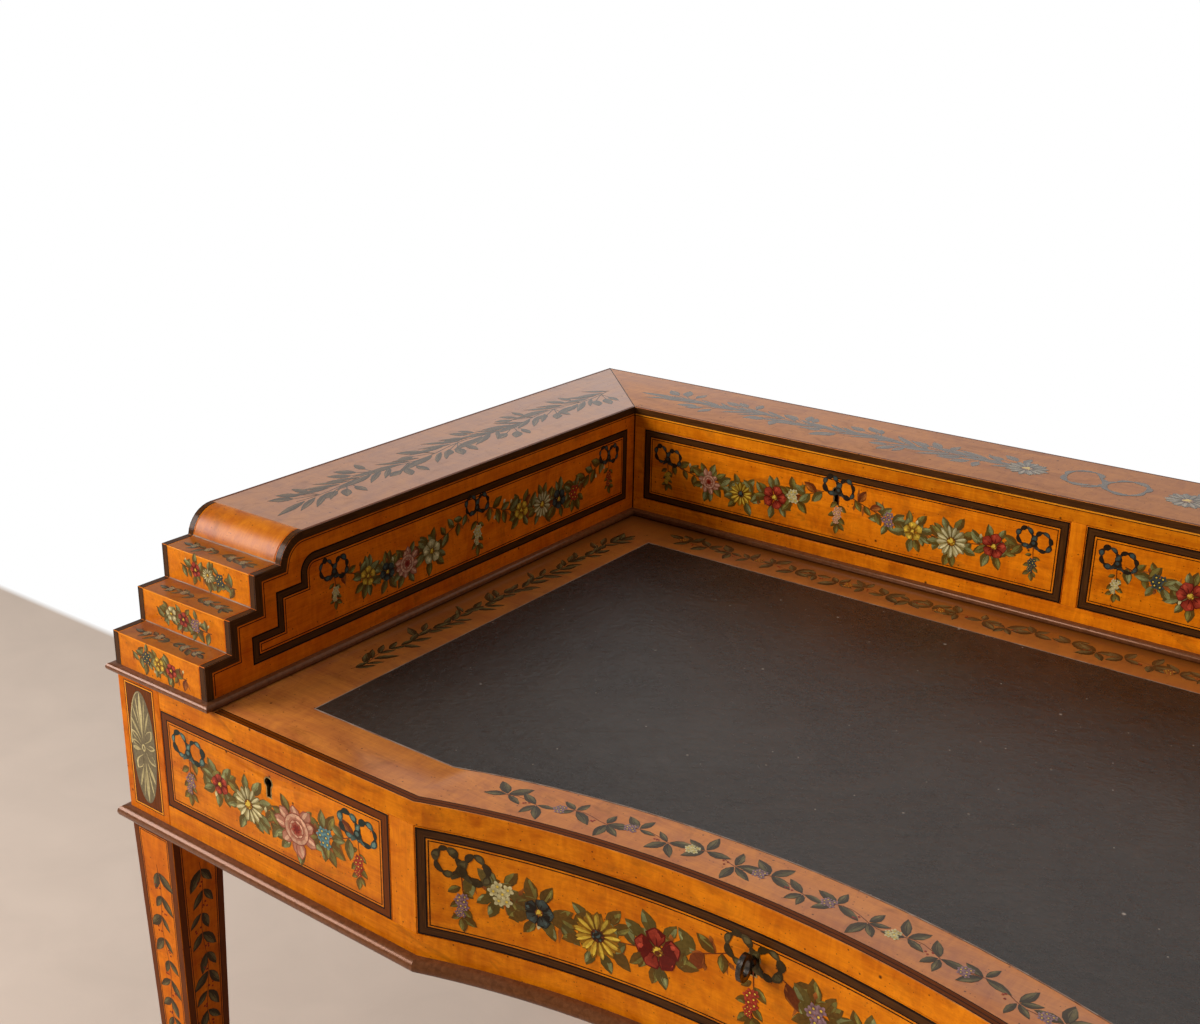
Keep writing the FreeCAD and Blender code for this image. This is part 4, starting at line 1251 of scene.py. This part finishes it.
def drawer_outline(drawer):
    """Half the width and half the height of a drawer's front, in millimetres, inside its eased edge."""
    low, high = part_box(drawer + "_drawer_front")
    ease = bpy.context.scene.desk_inlay.arris
    return (high.x - low.x) / 2 / mm - ease / mm, (high.z - low.z) / 2 / mm - ease / mm


def rectangle(u0, v0, u1, v1):
    return [(u0, v0), (u1, v0), (u1, v1), (u0, v1)]


def band_widths(wood=ROSEWOOD):
    """The rings of a banded panel, from outside inwards: a band with dark edges, a gap and a fine line."""
    inlay = bpy.context.scene.desk_inlay
    outer_edge, inner_edge = inlay.line * 1.9, inlay.line * 1.4
    return [(outer_edge, EBONY), (inlay.band - inlay.line * 1.5, wood), (inner_edge, EBONY),
            (inlay.string, GAP), (inlay.line, EBONY)]


def edge_widths():
    """The rings of a dark edge band, with a fine line inside it."""
    inlay = bpy.context.scene.desk_inlay
    return [(inlay.edge, DARK), (inlay.string, GAP), (inlay.line, EBONY)]


def arm_outline(inset, back):
    """The stepped outline of an arm from the table at its front, over the steps and the round, to the back.

    It is given in millimetres behind the front plane and above the table, set in by that much."""
    top = (top_z - writing_z) / mm
    points = []
    for k in range(1 if inset else 0, step_count):
        points.append((k * step_run / mm + inset, points[-1][1] if points else 0))
        points.append((k * step_run / mm + inset, (tread_z(k) - writing_z) / mm - inset))
    least_round = 17
    reach = max(nose_radius / mm - inset, least_round)
    middle_u = (nose_centre_y - nose_radius - front_y) / mm + inset + reach
    middle_v = top - inset - reach
    start = math.asin(max(points[-1][1] - middle_v, 0) / reach)
    if start == 0:
        points.append((middle_u - reach, points[-1][1]))
    arc = 8
    for number in range(arc + 1):
        angle = start + (quarter - start) * number / arc
        points.append((middle_u - reach * math.cos(angle), middle_v + reach * math.sin(angle)))
    points.append((back, top - inset))
    points.append((back, 0 if inset == 0 else inset - 1))
    if inset:
        points[0] = (points[0][0], inset - 1)
    return [p for p, q in zip(points, points[1:] + points[:1]) if (Vector(p) - Vector(q)).length > 0.05]


# Operators


# By the start of a node's name: the run of its grain, the kind of its faces, which sets their painted light
# and shade, polish and fading, and the kind of its faces that look up
GRAINS = {"leg": "z", "side_frieze": "y", "inner_stiles": "z", "gallery_outer": "y", "gallery_inner": "y",
          "gallery_steps": "slope", "gallery_nosing": "slope", "gallery_top_left": "y",
          "gallery_top_right": "y", "gallery_stiles": "z"}
FACE_KINDS = {"leg": "leg", "gallery_nosing": "round", "gallery_inner": "arm", "gallery_left_drawer": "back",
        "gallery_right_drawer": "back", "gallery_bottom": "back", "gallery_stiles": "back"}
LEVEL_FACE_KINDS = {"table_top": "table", "gallery_top_left": "level", "gallery_top_right": "level",
              "gallery_top_back": "level", "gallery_steps": "tread"}

# By material slot: the name of a metal, its colour and its roughness
METALS = {"brass": ("old_brass", "brass", 0.3), "key_steel": ("old_steel", "steel", 0.22)}


def by_start(table, node, otherwise):
    """What a table says of a node, by the start of its name."""
    return next((entry for start, entry in table.items() if node.startswith(start)), otherwise)


def nodes_in(*slots):
    """The nodes of some material slots, by name."""
    return sorted(node for node, slot in node_slot.items() if slot in slots)


def refinish(node, finish):
    """Gives a CAD node its finish and leaves its shape alone."""
    mesh = frame["nodes"][node].data
    mesh.materials.clear()
    mesh.materials.append(finish)


class DESK_OT_satinwood(bpy.types.Operator):
    """Eases the edges of the satinwood boards and polishes them"""
    bl_idname = "desk.satinwood"
    bl_label = "Satinwood"

    def execute(self, context):
        for node in nodes_in("satinwood"):
            axis = by_start(GRAINS, node, "x")
            level = by_start(LEVEL_FACE_KINDS, node, None)
            soften(node, satinwood(axis, by_start(FACE_KINDS, node, "front")), context.scene.desk_inlay.arris,
                   satinwood(axis, level) if level else None, RIGHT if level == "tread" else None)
        return {"FINISHED"}


class DESK_OT_mouldings(bpy.types.Operator):
    """Polishes the rosewood mouldings"""
    bl_idname = "desk.mouldings"
    bl_label = "Mouldings"

    def execute(self, context):
        for node in nodes_in("rosewood"):
            soften(node, moulding_wood(), 0)
        return {"FINISHED"}


class DESK_OT_linings(bpy.types.Operator):
    """Gives the drawer linings and runners their plain wood"""
    bl_idname = "desk.linings"
    bl_label = "Linings"

    def execute(self, context):
        for node in nodes_in("drawer_lining"):
            refinish(node, lining_wood("x" if node.endswith("bottom") else "y"))
        return {"FINISHED"}


class DESK_OT_leather(bpy.types.Operator):
    """Lays the worn leather and the rubbed line round it"""
    bl_idname = "desk.leather"
    bl_label = "Leather"

    def execute(self, context):
        refinish("leather_inset", worn_leather())
        low, high = leather_box
        radius = recess_radius + low.y - front_y
        corner = math.sqrt(radius**2 - (low.y - recess_centre_y) ** 2)
        steps = 36
        outline = [(low.x, low.y)]
        for number in range(steps + 1):
            x = corner * (2 * number / steps - 1)
            outline.append((x, recess_centre_y + math.sqrt(radius**2 - x**2)))
        outline += [(high.x, low.y), (high.x, high.y), (low.x, high.y)]
        edge = Inlay(FlatFace((0, 0, high.z), RIGHT, BACK))
        edge.rings([(x / mm, y / mm) for x, y in outline], LEATHER_RINGS)
        edge.fit("leather_edge_line")
        return {"FINISHED"}


class DESK_OT_metals(bpy.types.Operator):
    """Ages the brass locks and the steel key"""
    bl_idname = "desk.metals"
    bl_label = "Metals"

    def execute(self, context):
        for node in nodes_in(*METALS):
            soften(node, old_metal(*METALS[node_slot[node]]), 0)
        return {"FINISHED"}


class DESK_OT_drawer_bands(bpy.types.Operator):
    """Lets rosewood bands and fine lines into the drawer fronts"""
    bl_idname = "desk.drawer_bands"
    bl_label = "Drawer bands"

    def execute(self, context):
        for drawer in DRAWERS:
            half_u, half_v = drawer_outline(drawer)
            inlay = Inlay(drawer_face(drawer))
            wood = ROSEWOOD if drawer in ("frieze_left", "frieze_right") else DARK
            inlay.rings(rectangle(-half_u, -half_v, half_u, half_v), band_widths(wood))
            if drawer == "frieze_centre":
                inlay.slice(0, 11)
            inlay.fit(drawer + "_drawer_bands", drawer + "_drawer")
        return {"FINISHED"}


class DESK_OT_gallery_bands(bpy.types.Operator):
    """Lets bands into the gallery: its arms, steps, rounds, tops and the edge of its back"""
    bl_idname = "desk.gallery_bands"
    bl_label = "Gallery bands"

    def execute(self, context):
        inset = context.scene.desk_inlay.panel_inset / mm
        depth = (gallery_face_y - front_y) / mm
        back = (back_y - front_y) / mm
        for hand, side in SIDES:
            inner = Inlay(inner_face(side), -side)
            edge = arm_outline(0, depth + 12)
            inner.rings(edge, edge_widths(), range(len(edge) - 2))
            inner.rings(arm_outline(inset, depth - 13), band_widths(DARK))
            inner.fit("arm_inner_bands_" + hand)
            outer = Inlay(outer_face(side), side)
            edge = arm_outline(0, back)
            outer.rings(edge, edge_widths(), range(len(edge) - 1))
            outer.rings(arm_outline(inset, back - inset), band_widths())
            outer.fit("arm_outer_bands_" + hand)
            self.step_bands(hand, side)
            self.top_bands(hand, side)
        self.back_bands()
        return {"FINISHED"}

    def side_strips(self, work, half, v0, v1):
        """A band with a dark line on each side of it, along both edges of a narrow face."""
        for side in (-1, 1):
            for a, b, finish in SIDE_STRIPS:
                work.strip(side * (half - a), v0, side * (half - b), v1, finish)

    def step_bands(self, hand, side):
        """Bands on the risers, the treads and the round end of an arm, with a fine line across each."""
        half = arm_half / mm
        between = half - STRIPS_WIDE
        for k in range(step_count):
            riser_y = front_y + k * step_run
            low = ((tread_z(k - 1) if k else ledge_top) - writing_z) / mm
            high = (tread_z(k) - writing_z) / mm
            riser = Inlay(FlatFace((side * arm_middle, riser_y, writing_z), RIGHT, UP))
            self.side_strips(riser, half - REST, low, high - REST)
            if k:
                riser.strip(-between, low, between, low + 1.2, DUST)
            riser.strip(-between, high - 1.2, between, high - REST, BOXWOOD)
            riser.fit("riser_bands_%s_%d" % (hand, k + 1))
            level = Inlay(FlatFace((side * arm_middle, riser_y, tread_z(k)), RIGHT, BACK))
            self.side_strips(level, half - REST, REST, step_run / mm)
            level.fit("tread_bands_%s_%d" % (hand, k + 1))
        start = math.asin((step_top - nose_centre_z) / (nose_radius * nose_squash)) * nose_radius / mm
        nose = Inlay(NoseFace(side * arm_middle))
        self.side_strips(nose, half - REST, start, nose_radius * quarter / mm)
        nose.strip(-between, start, between, start + 1.3, DUST)
        nose.slice(1, 2.4)
        nose.fit("nose_bands_" + hand)

    def top_bands(self, hand, side):
        """Lines along both edges of the top of an arm."""
        top = Inlay(FlatFace((side * arm_middle, nose_centre_y, top_z), RIGHT, BACK))
        reach = side * (arm_half / mm - REST)
        line = side * TOP_LINE
        top.strip(-reach, 0, line - reach, (gallery_face_y - nose_centre_y) / mm, ROSEWOOD)
        top.strip(reach, 0, reach - line, (back_y - nose_centre_y) / mm - REST, ROSEWOOD)
        top.fit("arm_top_lines_" + hand)

    def back_bands(self):
        """Bands and lines on the face, the top, the mitres and the rear of the gallery's back."""
        inlay = bpy.context.scene.desk_inlay
        edge, string, line = inlay.edge / mm, inlay.string / mm, inlay.line / mm
        free, corner_line = 0.4, 1.6
        reach, half = arm_x / mm, half_width / mm
        deep = (back_y - gallery_face_y) / mm
        low, top = (ledge_top - writing_z) / mm, (top_z - writing_z) / mm
        face = Inlay(FlatFace((0, gallery_face_y, writing_z), RIGHT, UP))
        for a, b, finish in ((free, edge, DARK), (edge, edge + string, BOXWOOD),
                             (edge + string, edge + string + line, EBONY)):
            face.strip(-reach, top - b, reach, top - a, finish)
        for side in (-1, 1):
            face.strip(side * reach, low, side * (reach - corner_line), top - edge, EBONY)
        face.fit("gallery_back_edge_bands")
        level = Inlay(FlatFace((0, gallery_face_y, top_z), RIGHT, BACK))
        level.strip(-reach, REST, reach, REST + TOP_LINE, ROSEWOOD)
        level.strip(REST - half, deep - REST - TOP_LINE, half - REST, deep - REST, ROSEWOOD)
        level.fit("gallery_back_top_lines")
        for hand, side in SIDES:
            along = Vector((side, 1, 0)).normalized()
            mitre = Inlay(FlatFace((side * arm_x, gallery_face_y, top_z), along, UP.cross(along)))
            mitre.strip(0, -0.4, deep * math.sqrt(2) - 1, 0.4, EBONY)
            mitre.fit("gallery_mitre_" + hand)
        behind = Inlay(FlatFace((0, back_y, writing_z), -RIGHT, UP))
        behind.rings(rectangle(REAR_GAP - half, REAR_GAP - 1, half - REAR_GAP, top - REAR_GAP), band_widths())
        behind.strip(REST - half, top - edge, half - REST, top - free, ROSEWOOD)
        behind.fit("gallery_rear_bands")


class DESK_OT_table_bands(bpy.types.Operator):
    """Lets bands into the edge of the table, the legs, the sides and the back"""
    bl_idname = "desk.table_bands"
    bl_label = "Table bands"

    def execute(self, context):
        self.edge_bands()
        self.leg_bands()
        self.frieze_bands()
        return {"FINISHED"}

    def edge_bands(self):
        """The dark band just behind the front edge of the table, straight and round the hollow."""
        start, end = (arm_x - ledge_reach) / mm, recess_half / mm
        slope = math.tan(math.asin(recess_half / recess_radius))
        for hand, side in SIDES:
            straight = Inlay(FlatFace((0, front_y, writing_z), RIGHT, BACK))
            for a, b, finish in TABLE_STRIPS:
                straight.strip(side * start, a, side * end, b, finish)
            for vert in straight.bm.verts:
                if abs(vert.co.x) < end + 1:
                    vert.co.x += side * vert.co.y * slope
            straight.fit("table_edge_band_" + hand)
        curved = Inlay(RecessBorder())
        for a, b, finish in TABLE_STRIPS:
            curved.strip(-end, a, end, b, finish)
        curved.slice(0, 8)
        curved.fit("table_edge_band_recess")

    def leg_bands(self):
        """Bands along both edges and over the head of each face of a leg."""
        for leg in LEGS:
            for number, face in enumerate(leg_faces(leg)):
                top, foot = face.top_half, face.foot_half
                work = Inlay(face)
                work.rings([(-foot, 0), (foot, 0), (top, face.long), (-top, face.long)], LEG_RINGS, {1, 2, 3})
                work.fit("%s_bands_%d" % (leg, number + 1))

    def frieze_bands(self):
        """A banded panel on each side and on the back."""
        aside, below, above = FRIEZE_GAP
        low, high = moulding_top / mm + below, writing_z / mm - above
        panels = [("side_frieze_bands_" + hand, (side * half_width, 0, 0), BACK * side, -leg_back_of_front)
                  for hand, side in SIDES]
        panels.append(("back_frieze_bands", (0, back_y, 0), -RIGHT, leg_inner))
        for name, origin, right, half in panels:
            reach = half / mm - aside
            work = Inlay(FlatFace(origin, right, UP))
            work.rings(rectangle(-reach, low, reach, high), band_widths())
            work.fit(name)


# The strokes of a patera: from, to and breadth, as shares of its half width and half height, and whether it
# is hollow
PATERA_STROKES = (
    (-0.02, 0.14, -0.06, 0.98, 0.26, False), (0.06, -0.22, 0.04, -0.98, 0.26, False),
    (-0.1, 0.14, -0.9, 0.48, 0.17, False), (-0.12, 0.24, -0.4, 0.9, 0.09, False),
    (-0.2, 0.3, -0.68, 0.74, 0.09, False), (0.14, 0.3, 0.34, 0.9, 0.09, False),
    (0.16, 0.24, 0.62, 0.7, 0.13, False), (0.2, -0.24, 0.8, -0.58, 0.22, False),
    (0.22, -0.36, 0.5, -0.84, 0.1, False), (-0.06, -0.34, -0.26, -0.9, 0.09, False),
    (-0.1, -0.3, -0.58, -0.74, 0.15, False), (0.14, 0.08, 0.8, 0.36, 0.5, True),
    (-0.18, 0.08, -0.92, 0.25, 0.34, True), (-0.2, 0.02, -0.96, 0.06, 0.3, True),
    (-0.2, -0.05, -0.94, -0.06, 0.28, False), (0.2, 0.02, 0.96, 0.06, 0.34, True),
    (0.18, -0.07, 0.94, -0.24, 0.5, True), (-0.1, -0.12, -0.66, -0.42, 0.56, True))


class DESK_OT_pateras(bpy.types.Operator):
    """Makes the dark panels with an oval patera on the heads of the legs"""
    bl_idname = "desk.pateras"
    bl_label = "Pateras"

    def execute(self, context):
        half = (half_width - leg_inner) / 2
        middle_z = (moulding_top + writing_z) / 2
        tall = (writing_z - moulding_top) / 2 / mm
        seed = 300
        for y_side, end, y in ((-1, "front", front_y), (1, "back", back_y)):
            for hand, side in SIDES:
                x = side * (half_width - half)
                faces = {"head": FlatFace((x, y, middle_z), RIGHT * -y_side, UP),
                         "side": FlatFace((side * half_width, y - y_side * half, middle_z), BACK * side, UP)}
                for name, face in faces.items():
                    seed += 1
                    self.panel("leg_%s_%s_%s" % (end, hand, name), face, half / mm, tall, seed)
        return {"FINISHED"}

    def panel(self, name, face, half, tall, seed):
        """A dark panel in a light rim, with its patera."""
        half, tall = half - PANEL_GAP, tall - PANEL_END
        work = Inlay(face)
        work.rings(rectangle(-half, -tall, half, tall), PANEL_RINGS)
        work.strip(PANEL_RIM - half, PANEL_RIM - tall, half - PANEL_RIM, tall - PANEL_RIM, ROSEWOOD)
        work.fit(name + "_panel")
        brush = Brush(face, seed)
        self.patera(brush, half - 3.6, tall - 6)
        brush.finish(name + "_patera")

    def patera(self, brush, wide, tall):
        """A painted oval of long leaves and lines, with an open flower and a small ring in its middle."""
        middle = Vector((0, 0))
        ground = Vector((0.16, 0.12, 0.06))
        light = tones("cream")[1] * Vector((0.78, 0.72, 0.62))
        brush.layer(0.16)
        brush.dot(middle, wide, ground, 40, tall / wide)
        brush.layer(0.18)
        rim = [(-wide * 0.98 * math.cos(k * 0.14), tall * 0.98 * math.sin(k * 0.14)) for k in range(12)]
        brush.trail(rim, lambda t: 1.5 - 0.9 * t, light, light * 0.8)
        for u0, v0, u1, v1, broad, hollow in PATERA_STROKES:
            start = Vector((u0 * wide, v0 * tall))
            reach = Vector((u1 * wide, v1 * tall)) - start
            angle = math.atan2(reach.y, reach.x)
            bend = brush.dice.uniform(-0.04, 0.04)
            across = broad * wide
            brush.dab(start, angle, reach.length, across, light * 0.75, light, 0.58, bend, 14)
            if hollow:
                inside = start + away(angle + quarter, across * 0.07)
                brush.dab(inside, angle, reach.length - 1.5, across - 2.2, ground * 0.8, ground * 1.15,
                          0.56, bend, 14)
        brush.dot(middle, 2.3, light, 12, 1.6)
        brush.dot(middle, 1.1, ground * 0.8, 10, 2.0)


class DESK_OT_painted_drawers(bpy.types.Operator):
    """Paints the garlands on the drawer fronts"""
    bl_idname = "desk.painted_drawers"
    bl_label = "Painted drawers"

    def execute(self, context):
        for seed, drawer in enumerate(DRAWERS):
            name = drawer + "_drawer"
            paint_swags(name + "_garland", drawer_face(drawer), SWAGS[drawer], name, seed)
        return {"FINISHED"}


class DESK_OT_painted_gallery(bpy.types.Operator):
    """Paints the arms, the steps and the tops of the gallery"""
    bl_idname = "desk.painted_gallery"
    bl_label = "Painted gallery"

    def execute(self, context):
        for number, (hand, side) in enumerate(SIDES):
            paint_swags("arm_garland_" + hand, inner_face(side), SWAGS["arm"], "carcase", 20 + number, -side)
            self.steps(hand, side, 30 + number * 10)
            self.arm_top(hand, side, 60 + number)
        self.back_top(70)
        return {"FINISHED"}

    def steps(self, hand, side, seed):
        """A small garland on each riser and two leaf trails on each tread."""
        for k in range(step_count):
            tread = tread_z(k)
            low = tread - step_rise if k else ledge_top
            riser_y = front_y + k * step_run
            brush = Brush(FlatFace((side * arm_middle, riser_y, (low + tread) / 2), RIGHT, UP), seed + k)
            flowers = [(kind, (place - 1) * 16.0, 1.5 - place, 6.5, tone)
                       for place, (kind, tone) in enumerate(RISER_FLOWERS[k])]
            swag(brush, (-36, 3), (36, -3), 2, flowers, 11.0)
            brush.finish("riser_spray_%s_%d" % (hand, k + 1))
            level = FlatFace((side * arm_middle, riser_y + step_run / 2, tread), RIGHT, BACK)
            brush = Brush(level, seed + 5 + k)
            for way in (-1, 1):
                leaf_trail(brush, [(0, 0), (way * 18, 1), (way * 34, -1)], 11.0, 8.0, "dusk", NARROW_PAIRS,
                           (None, "pale"))
            brush.finish("tread_spray_%s_%d" % (hand, k + 1), face_kind="tread")

    def arm_top(self, hand, side, seed):
        """A spray along the top of an arm."""
        face = FlatFace((side * arm_middle, gallery_face_y, top_z), BACK * side, RIGHT * -side)
        brush = Brush(face, seed, -side)
        long = (gallery_face_y - nose_centre_y) / mm - 16
        spray(brush, -30, long - 30)
        brush.finish("arm_top_spray_" + hand, face_kind="level")

    def back_top(self, seed):
        """Two sprays from a bow in the middle of the back's top, each behind a flower."""
        brush = Brush(FlatFace((0, (gallery_face_y + back_y) / 2, top_z), RIGHT, BACK), seed)
        for way in (1, -1):
            spray(brush, 66, arm_x / mm - 10, way)
        brush.layer(0.16)
        bow(brush, Vector((0, -6)), 44, "grey", 0.13)
        for u in (-74, 74):
            brush.layer(0.12)
            daisy(brush, Vector((u, 0)), 20, "pale")
        brush.finish("back_top_spray", face_kind="level")


class DESK_OT_painted_table(bpy.types.Operator):
    """Paints the leaf trails on the borders of the table"""
    bl_idname = "desk.painted_table"
    bl_label = "Painted table"

    def execute(self, context):
        front = Brush(RecessBorder(), 80)
        leaf_trail(front, wave(-212, 212, 3.5, 60, 31), 16.0, 26.0, "dusk", ROSETTES,
                   ("berries", "purple", "berries", "purple", "berries", "cream"))
        front.finish("front_border_trail", face_kind="table")
        leather_end = leather_box[1]
        for number, (hand, side) in enumerate(SIDES):
            x = (leather_end.x + arm_x - ledge_reach) / 2 * side
            brush = Brush(FlatFace((x, 0, writing_z), BACK * side, RIGHT * -side), 82 + number, side)
            leaf_trail(brush, wave(-235, 165, 3, 50), 20.0, 12.0, "dusk", NARROW_PAIRS, (), 0.36)
            brush.finish("side_border_trail_" + hand, face_kind="table")
        y = (leather_end.y + gallery_face_y - ledge_reach) / 2
        for number, way in enumerate((-1, 1)):
            brush = Brush(FlatFace((0, y, writing_z), RIGHT, BACK), 86 + number, way)
            leaf_trail(brush, wave(10, 400, 3, 50), 17.0, 25.0, "dusk", ROSETTES,
                       ("berries", None, "berries", "rust"), 0.5)
            brush.finish("back_border_trail_%d" % (number + 1), face_kind="table")
        return {"FINISHED"}


class DESK_OT_painted_legs(bpy.types.Operator):
    """Paints the leaf trails down the legs"""
    bl_idname = "desk.painted_legs"
    bl_label = "Painted legs"

    def execute(self, context):
        seed = 100
        for leg in LEGS:
            for number, face in enumerate(leg_faces(leg)):
                seed += 1
                brush = Brush(face, seed)
                top, foot = face.long - 40, 45
                points = [(2.2 * math.sin(k * 0.8), top - (top - foot) * k / 40) for k in range(41)]
                leaf_trail(brush, points, 20.0, 23.5, "dusk", LEG_SPRIGS, ("berries",))
                brush.finish("%s_trail_%d" % (leg, number + 1))
        return {"FINISHED"}


class DESK_OT_stage(bpy.types.Operator):
    """Makes the floor, the white surround, the lights and the camera"""
    bl_idname = "desk.stage"
    bl_label = "Stage"

    def execute(self, context):
        context.scene.view_settings.view_transform = "Standard"
        self.floor(context)
        self.surround(context)
        self.lights(context)
        self.camera(context)
        return {"FINISHED"}

    def floor(self, context):
        """A pale floor, white to the camera from some way behind the desk."""
        stage = context.scene.desk_stage
        bm = bmesh.new()
        bmesh.ops.create_grid(bm, x_segments=2, y_segments=2, size=8)
        mesh = bpy.data.meshes.new("floor")
        bm.to_mesh(mesh)
        bm.free()
        finish = Finish("pale_floor")
        g = finish.graph
        vector = finish.place()
        mottle = g.spread(g.noise(vector, 7.0, 5.0, 0.6, 0.5), 0.3, 0.7)
        tint = Vector(context.scene.desk_finishes.floor)
        finish.set(Base_Color=g.mix(mottle, tint * 0.93, tint), Roughness=g.spread(mottle, 0, 1, 0.5, 0.62),
                   Specular_IOR_Level=0.25)
        behind = g.spread(g.add("SeparateXYZ", [vector])["Y"], stage.wall_y, stage.wall_y + 0.02)
        seen = g.calc("MULTIPLY", behind, g.add("LightPath")["Is Camera Ray"])
        shown = g.add("MixShader", (seen, finish.shader.outputs[0], g.add("Emission")[0]))
        g.feed(finish.material.node_tree.nodes["Material Output"].inputs[0], shown[0])
        mesh.materials.append(finish.material)
        floor = new_object("floor", mesh)

    def surround(self, context):
        """White to the camera; to gloss, bright behind the desk and dim in front; to other light, an even dim
        white.
        """
        stage = context.scene.desk_stage
        world = bpy.data.worlds.new("studio")
        context.scene.world = world
        world.use_nodes = True
        g = Graph(world.node_tree)
        seen = world.node_tree.nodes["Background"]
        seen.inputs["Color"].default_value = (1, 1, 1, 1)
        seen.inputs["Strength"].default_value = 1.0
        black, white = (0, 0, 0), (1, 1, 1)
        path = g.add("LightPath")
        y = g.add("SeparateXYZ", [g.add("TexCoord")["Generated"]])["Y"]
        behind = g.spread(g.calc("POWER", g.spread(y, -0.25, 0.8), 2.2), 0.0, 1.0, 0.12, 1.0)
        shiny = g.calc("MAXIMUM", path["Is Glossy Ray"], path["Is Transmission Ray"])
        strength = g.spread(shiny, 0.0, 1.0, stage.ambient, 0.95)
        around = g.add("Background", (g.mix(shiny, white, g.mix(behind, black, white)), strength))
        shown = g.add("MixShader", (path["Is Camera Ray"], around[0], seen.outputs[0]))
        g.feed(world.node_tree.nodes["World Output"].inputs[0], shown[0])

    def lights(self, context):
        """Two soft lights that look at the middle of the desk's front."""
        stage = context.scene.desk_stage
        aim = Vector((-0.1, 0.0, 0.7))
        for name, place, size, power in (("key_light", (-2.9, -2.3, 2.2), 2.0, stage.key_power),
                                         ("top_light", (0.3, 0.2, 3.2), 2.0, stage.fill_power)):
            lamp = bpy.data.lights.new(name, "AREA")
            lamp.size = size
            lamp.energy = power
            light = new_object(name, lamp)
            light.location = place
            light.rotation_euler = (aim - light.location).to_track_quat("-Z", "Y").to_euler()

    def camera(self, context):
        """The photograph's camera, as fitted to the desk's edges."""
        stage = context.scene.desk_stage
        lens = bpy.data.cameras.new("photo_camera")
        lens.lens = stage.focal_length
        lens.sensor_width = 36.0
        lens.sensor_fit = "HORIZONTAL"
        lens.shift_x = stage.shift
        turn = Matrix.Rotation(stage.camera_turn, 4, "Z")
        turn = turn @ Matrix.Rotation(quarter - stage.camera_tilt, 4, "X")
        turn = turn @ Matrix.Rotation(stage.camera_roll, 4, "Z")
        camera = new_object("photo_camera", lens)
        camera.matrix_world = Matrix.Translation(stage.camera_place) @ turn
        context.scene.camera = camera


class DESK_PT_sidebar(bpy.types.Panel):
    """Lists the steps and the sizes of the desk"""
    bl_idname = "DESK_PT_sidebar"
    bl_label = "Desk"
    bl_space_type = "VIEW_3D"
    bl_region_type = "UI"
    bl_category = "Desk"

    def draw(self, context):
        for operator in STEPS:
            self.layout.operator(operator.bl_idname)
        for group in GROUPS:
            settings = getattr(context.scene, group)
            self.layout.label(text=settings.bl_rna.description)
            for name in settings.bl_rna.properties.keys():
                if name not in ("rna_type", "name"):
                    self.layout.prop(settings, name)


STEPS = (DESK_OT_satinwood, DESK_OT_mouldings, DESK_OT_linings, DESK_OT_leather, DESK_OT_metals,
         DESK_OT_drawer_bands, DESK_OT_gallery_bands, DESK_OT_table_bands, DESK_OT_pateras,
         DESK_OT_painted_drawers, DESK_OT_painted_gallery, DESK_OT_painted_table, DESK_OT_painted_legs,
         DESK_OT_stage)
GROUPS = {"desk_finishes": DeskFinishes, "desk_inlay": DeskInlay, "desk_paint": DeskPaint,
          "desk_stage": DeskStage}


def register():
    for kind in (*GROUPS.values(), *STEPS, DESK_PT_sidebar):
        bpy.utils.register_class(kind)
    for name, kind in GROUPS.items():
        setattr(bpy.types.Scene, name, PointerProperty(type=kind))


def unregister():
    for name in GROUPS:
        delattr(bpy.types.Scene, name)
    for kind in (DESK_PT_sidebar, *reversed(STEPS), *reversed(GROUPS.values())):
        bpy.utils.unregister_class(kind)


def main():
    register()
    for step in STEPS:
        area, name = step.bl_idname.split(".")
        getattr(getattr(bpy.ops, area), name)()


if __name__ == "__main__":
    main()
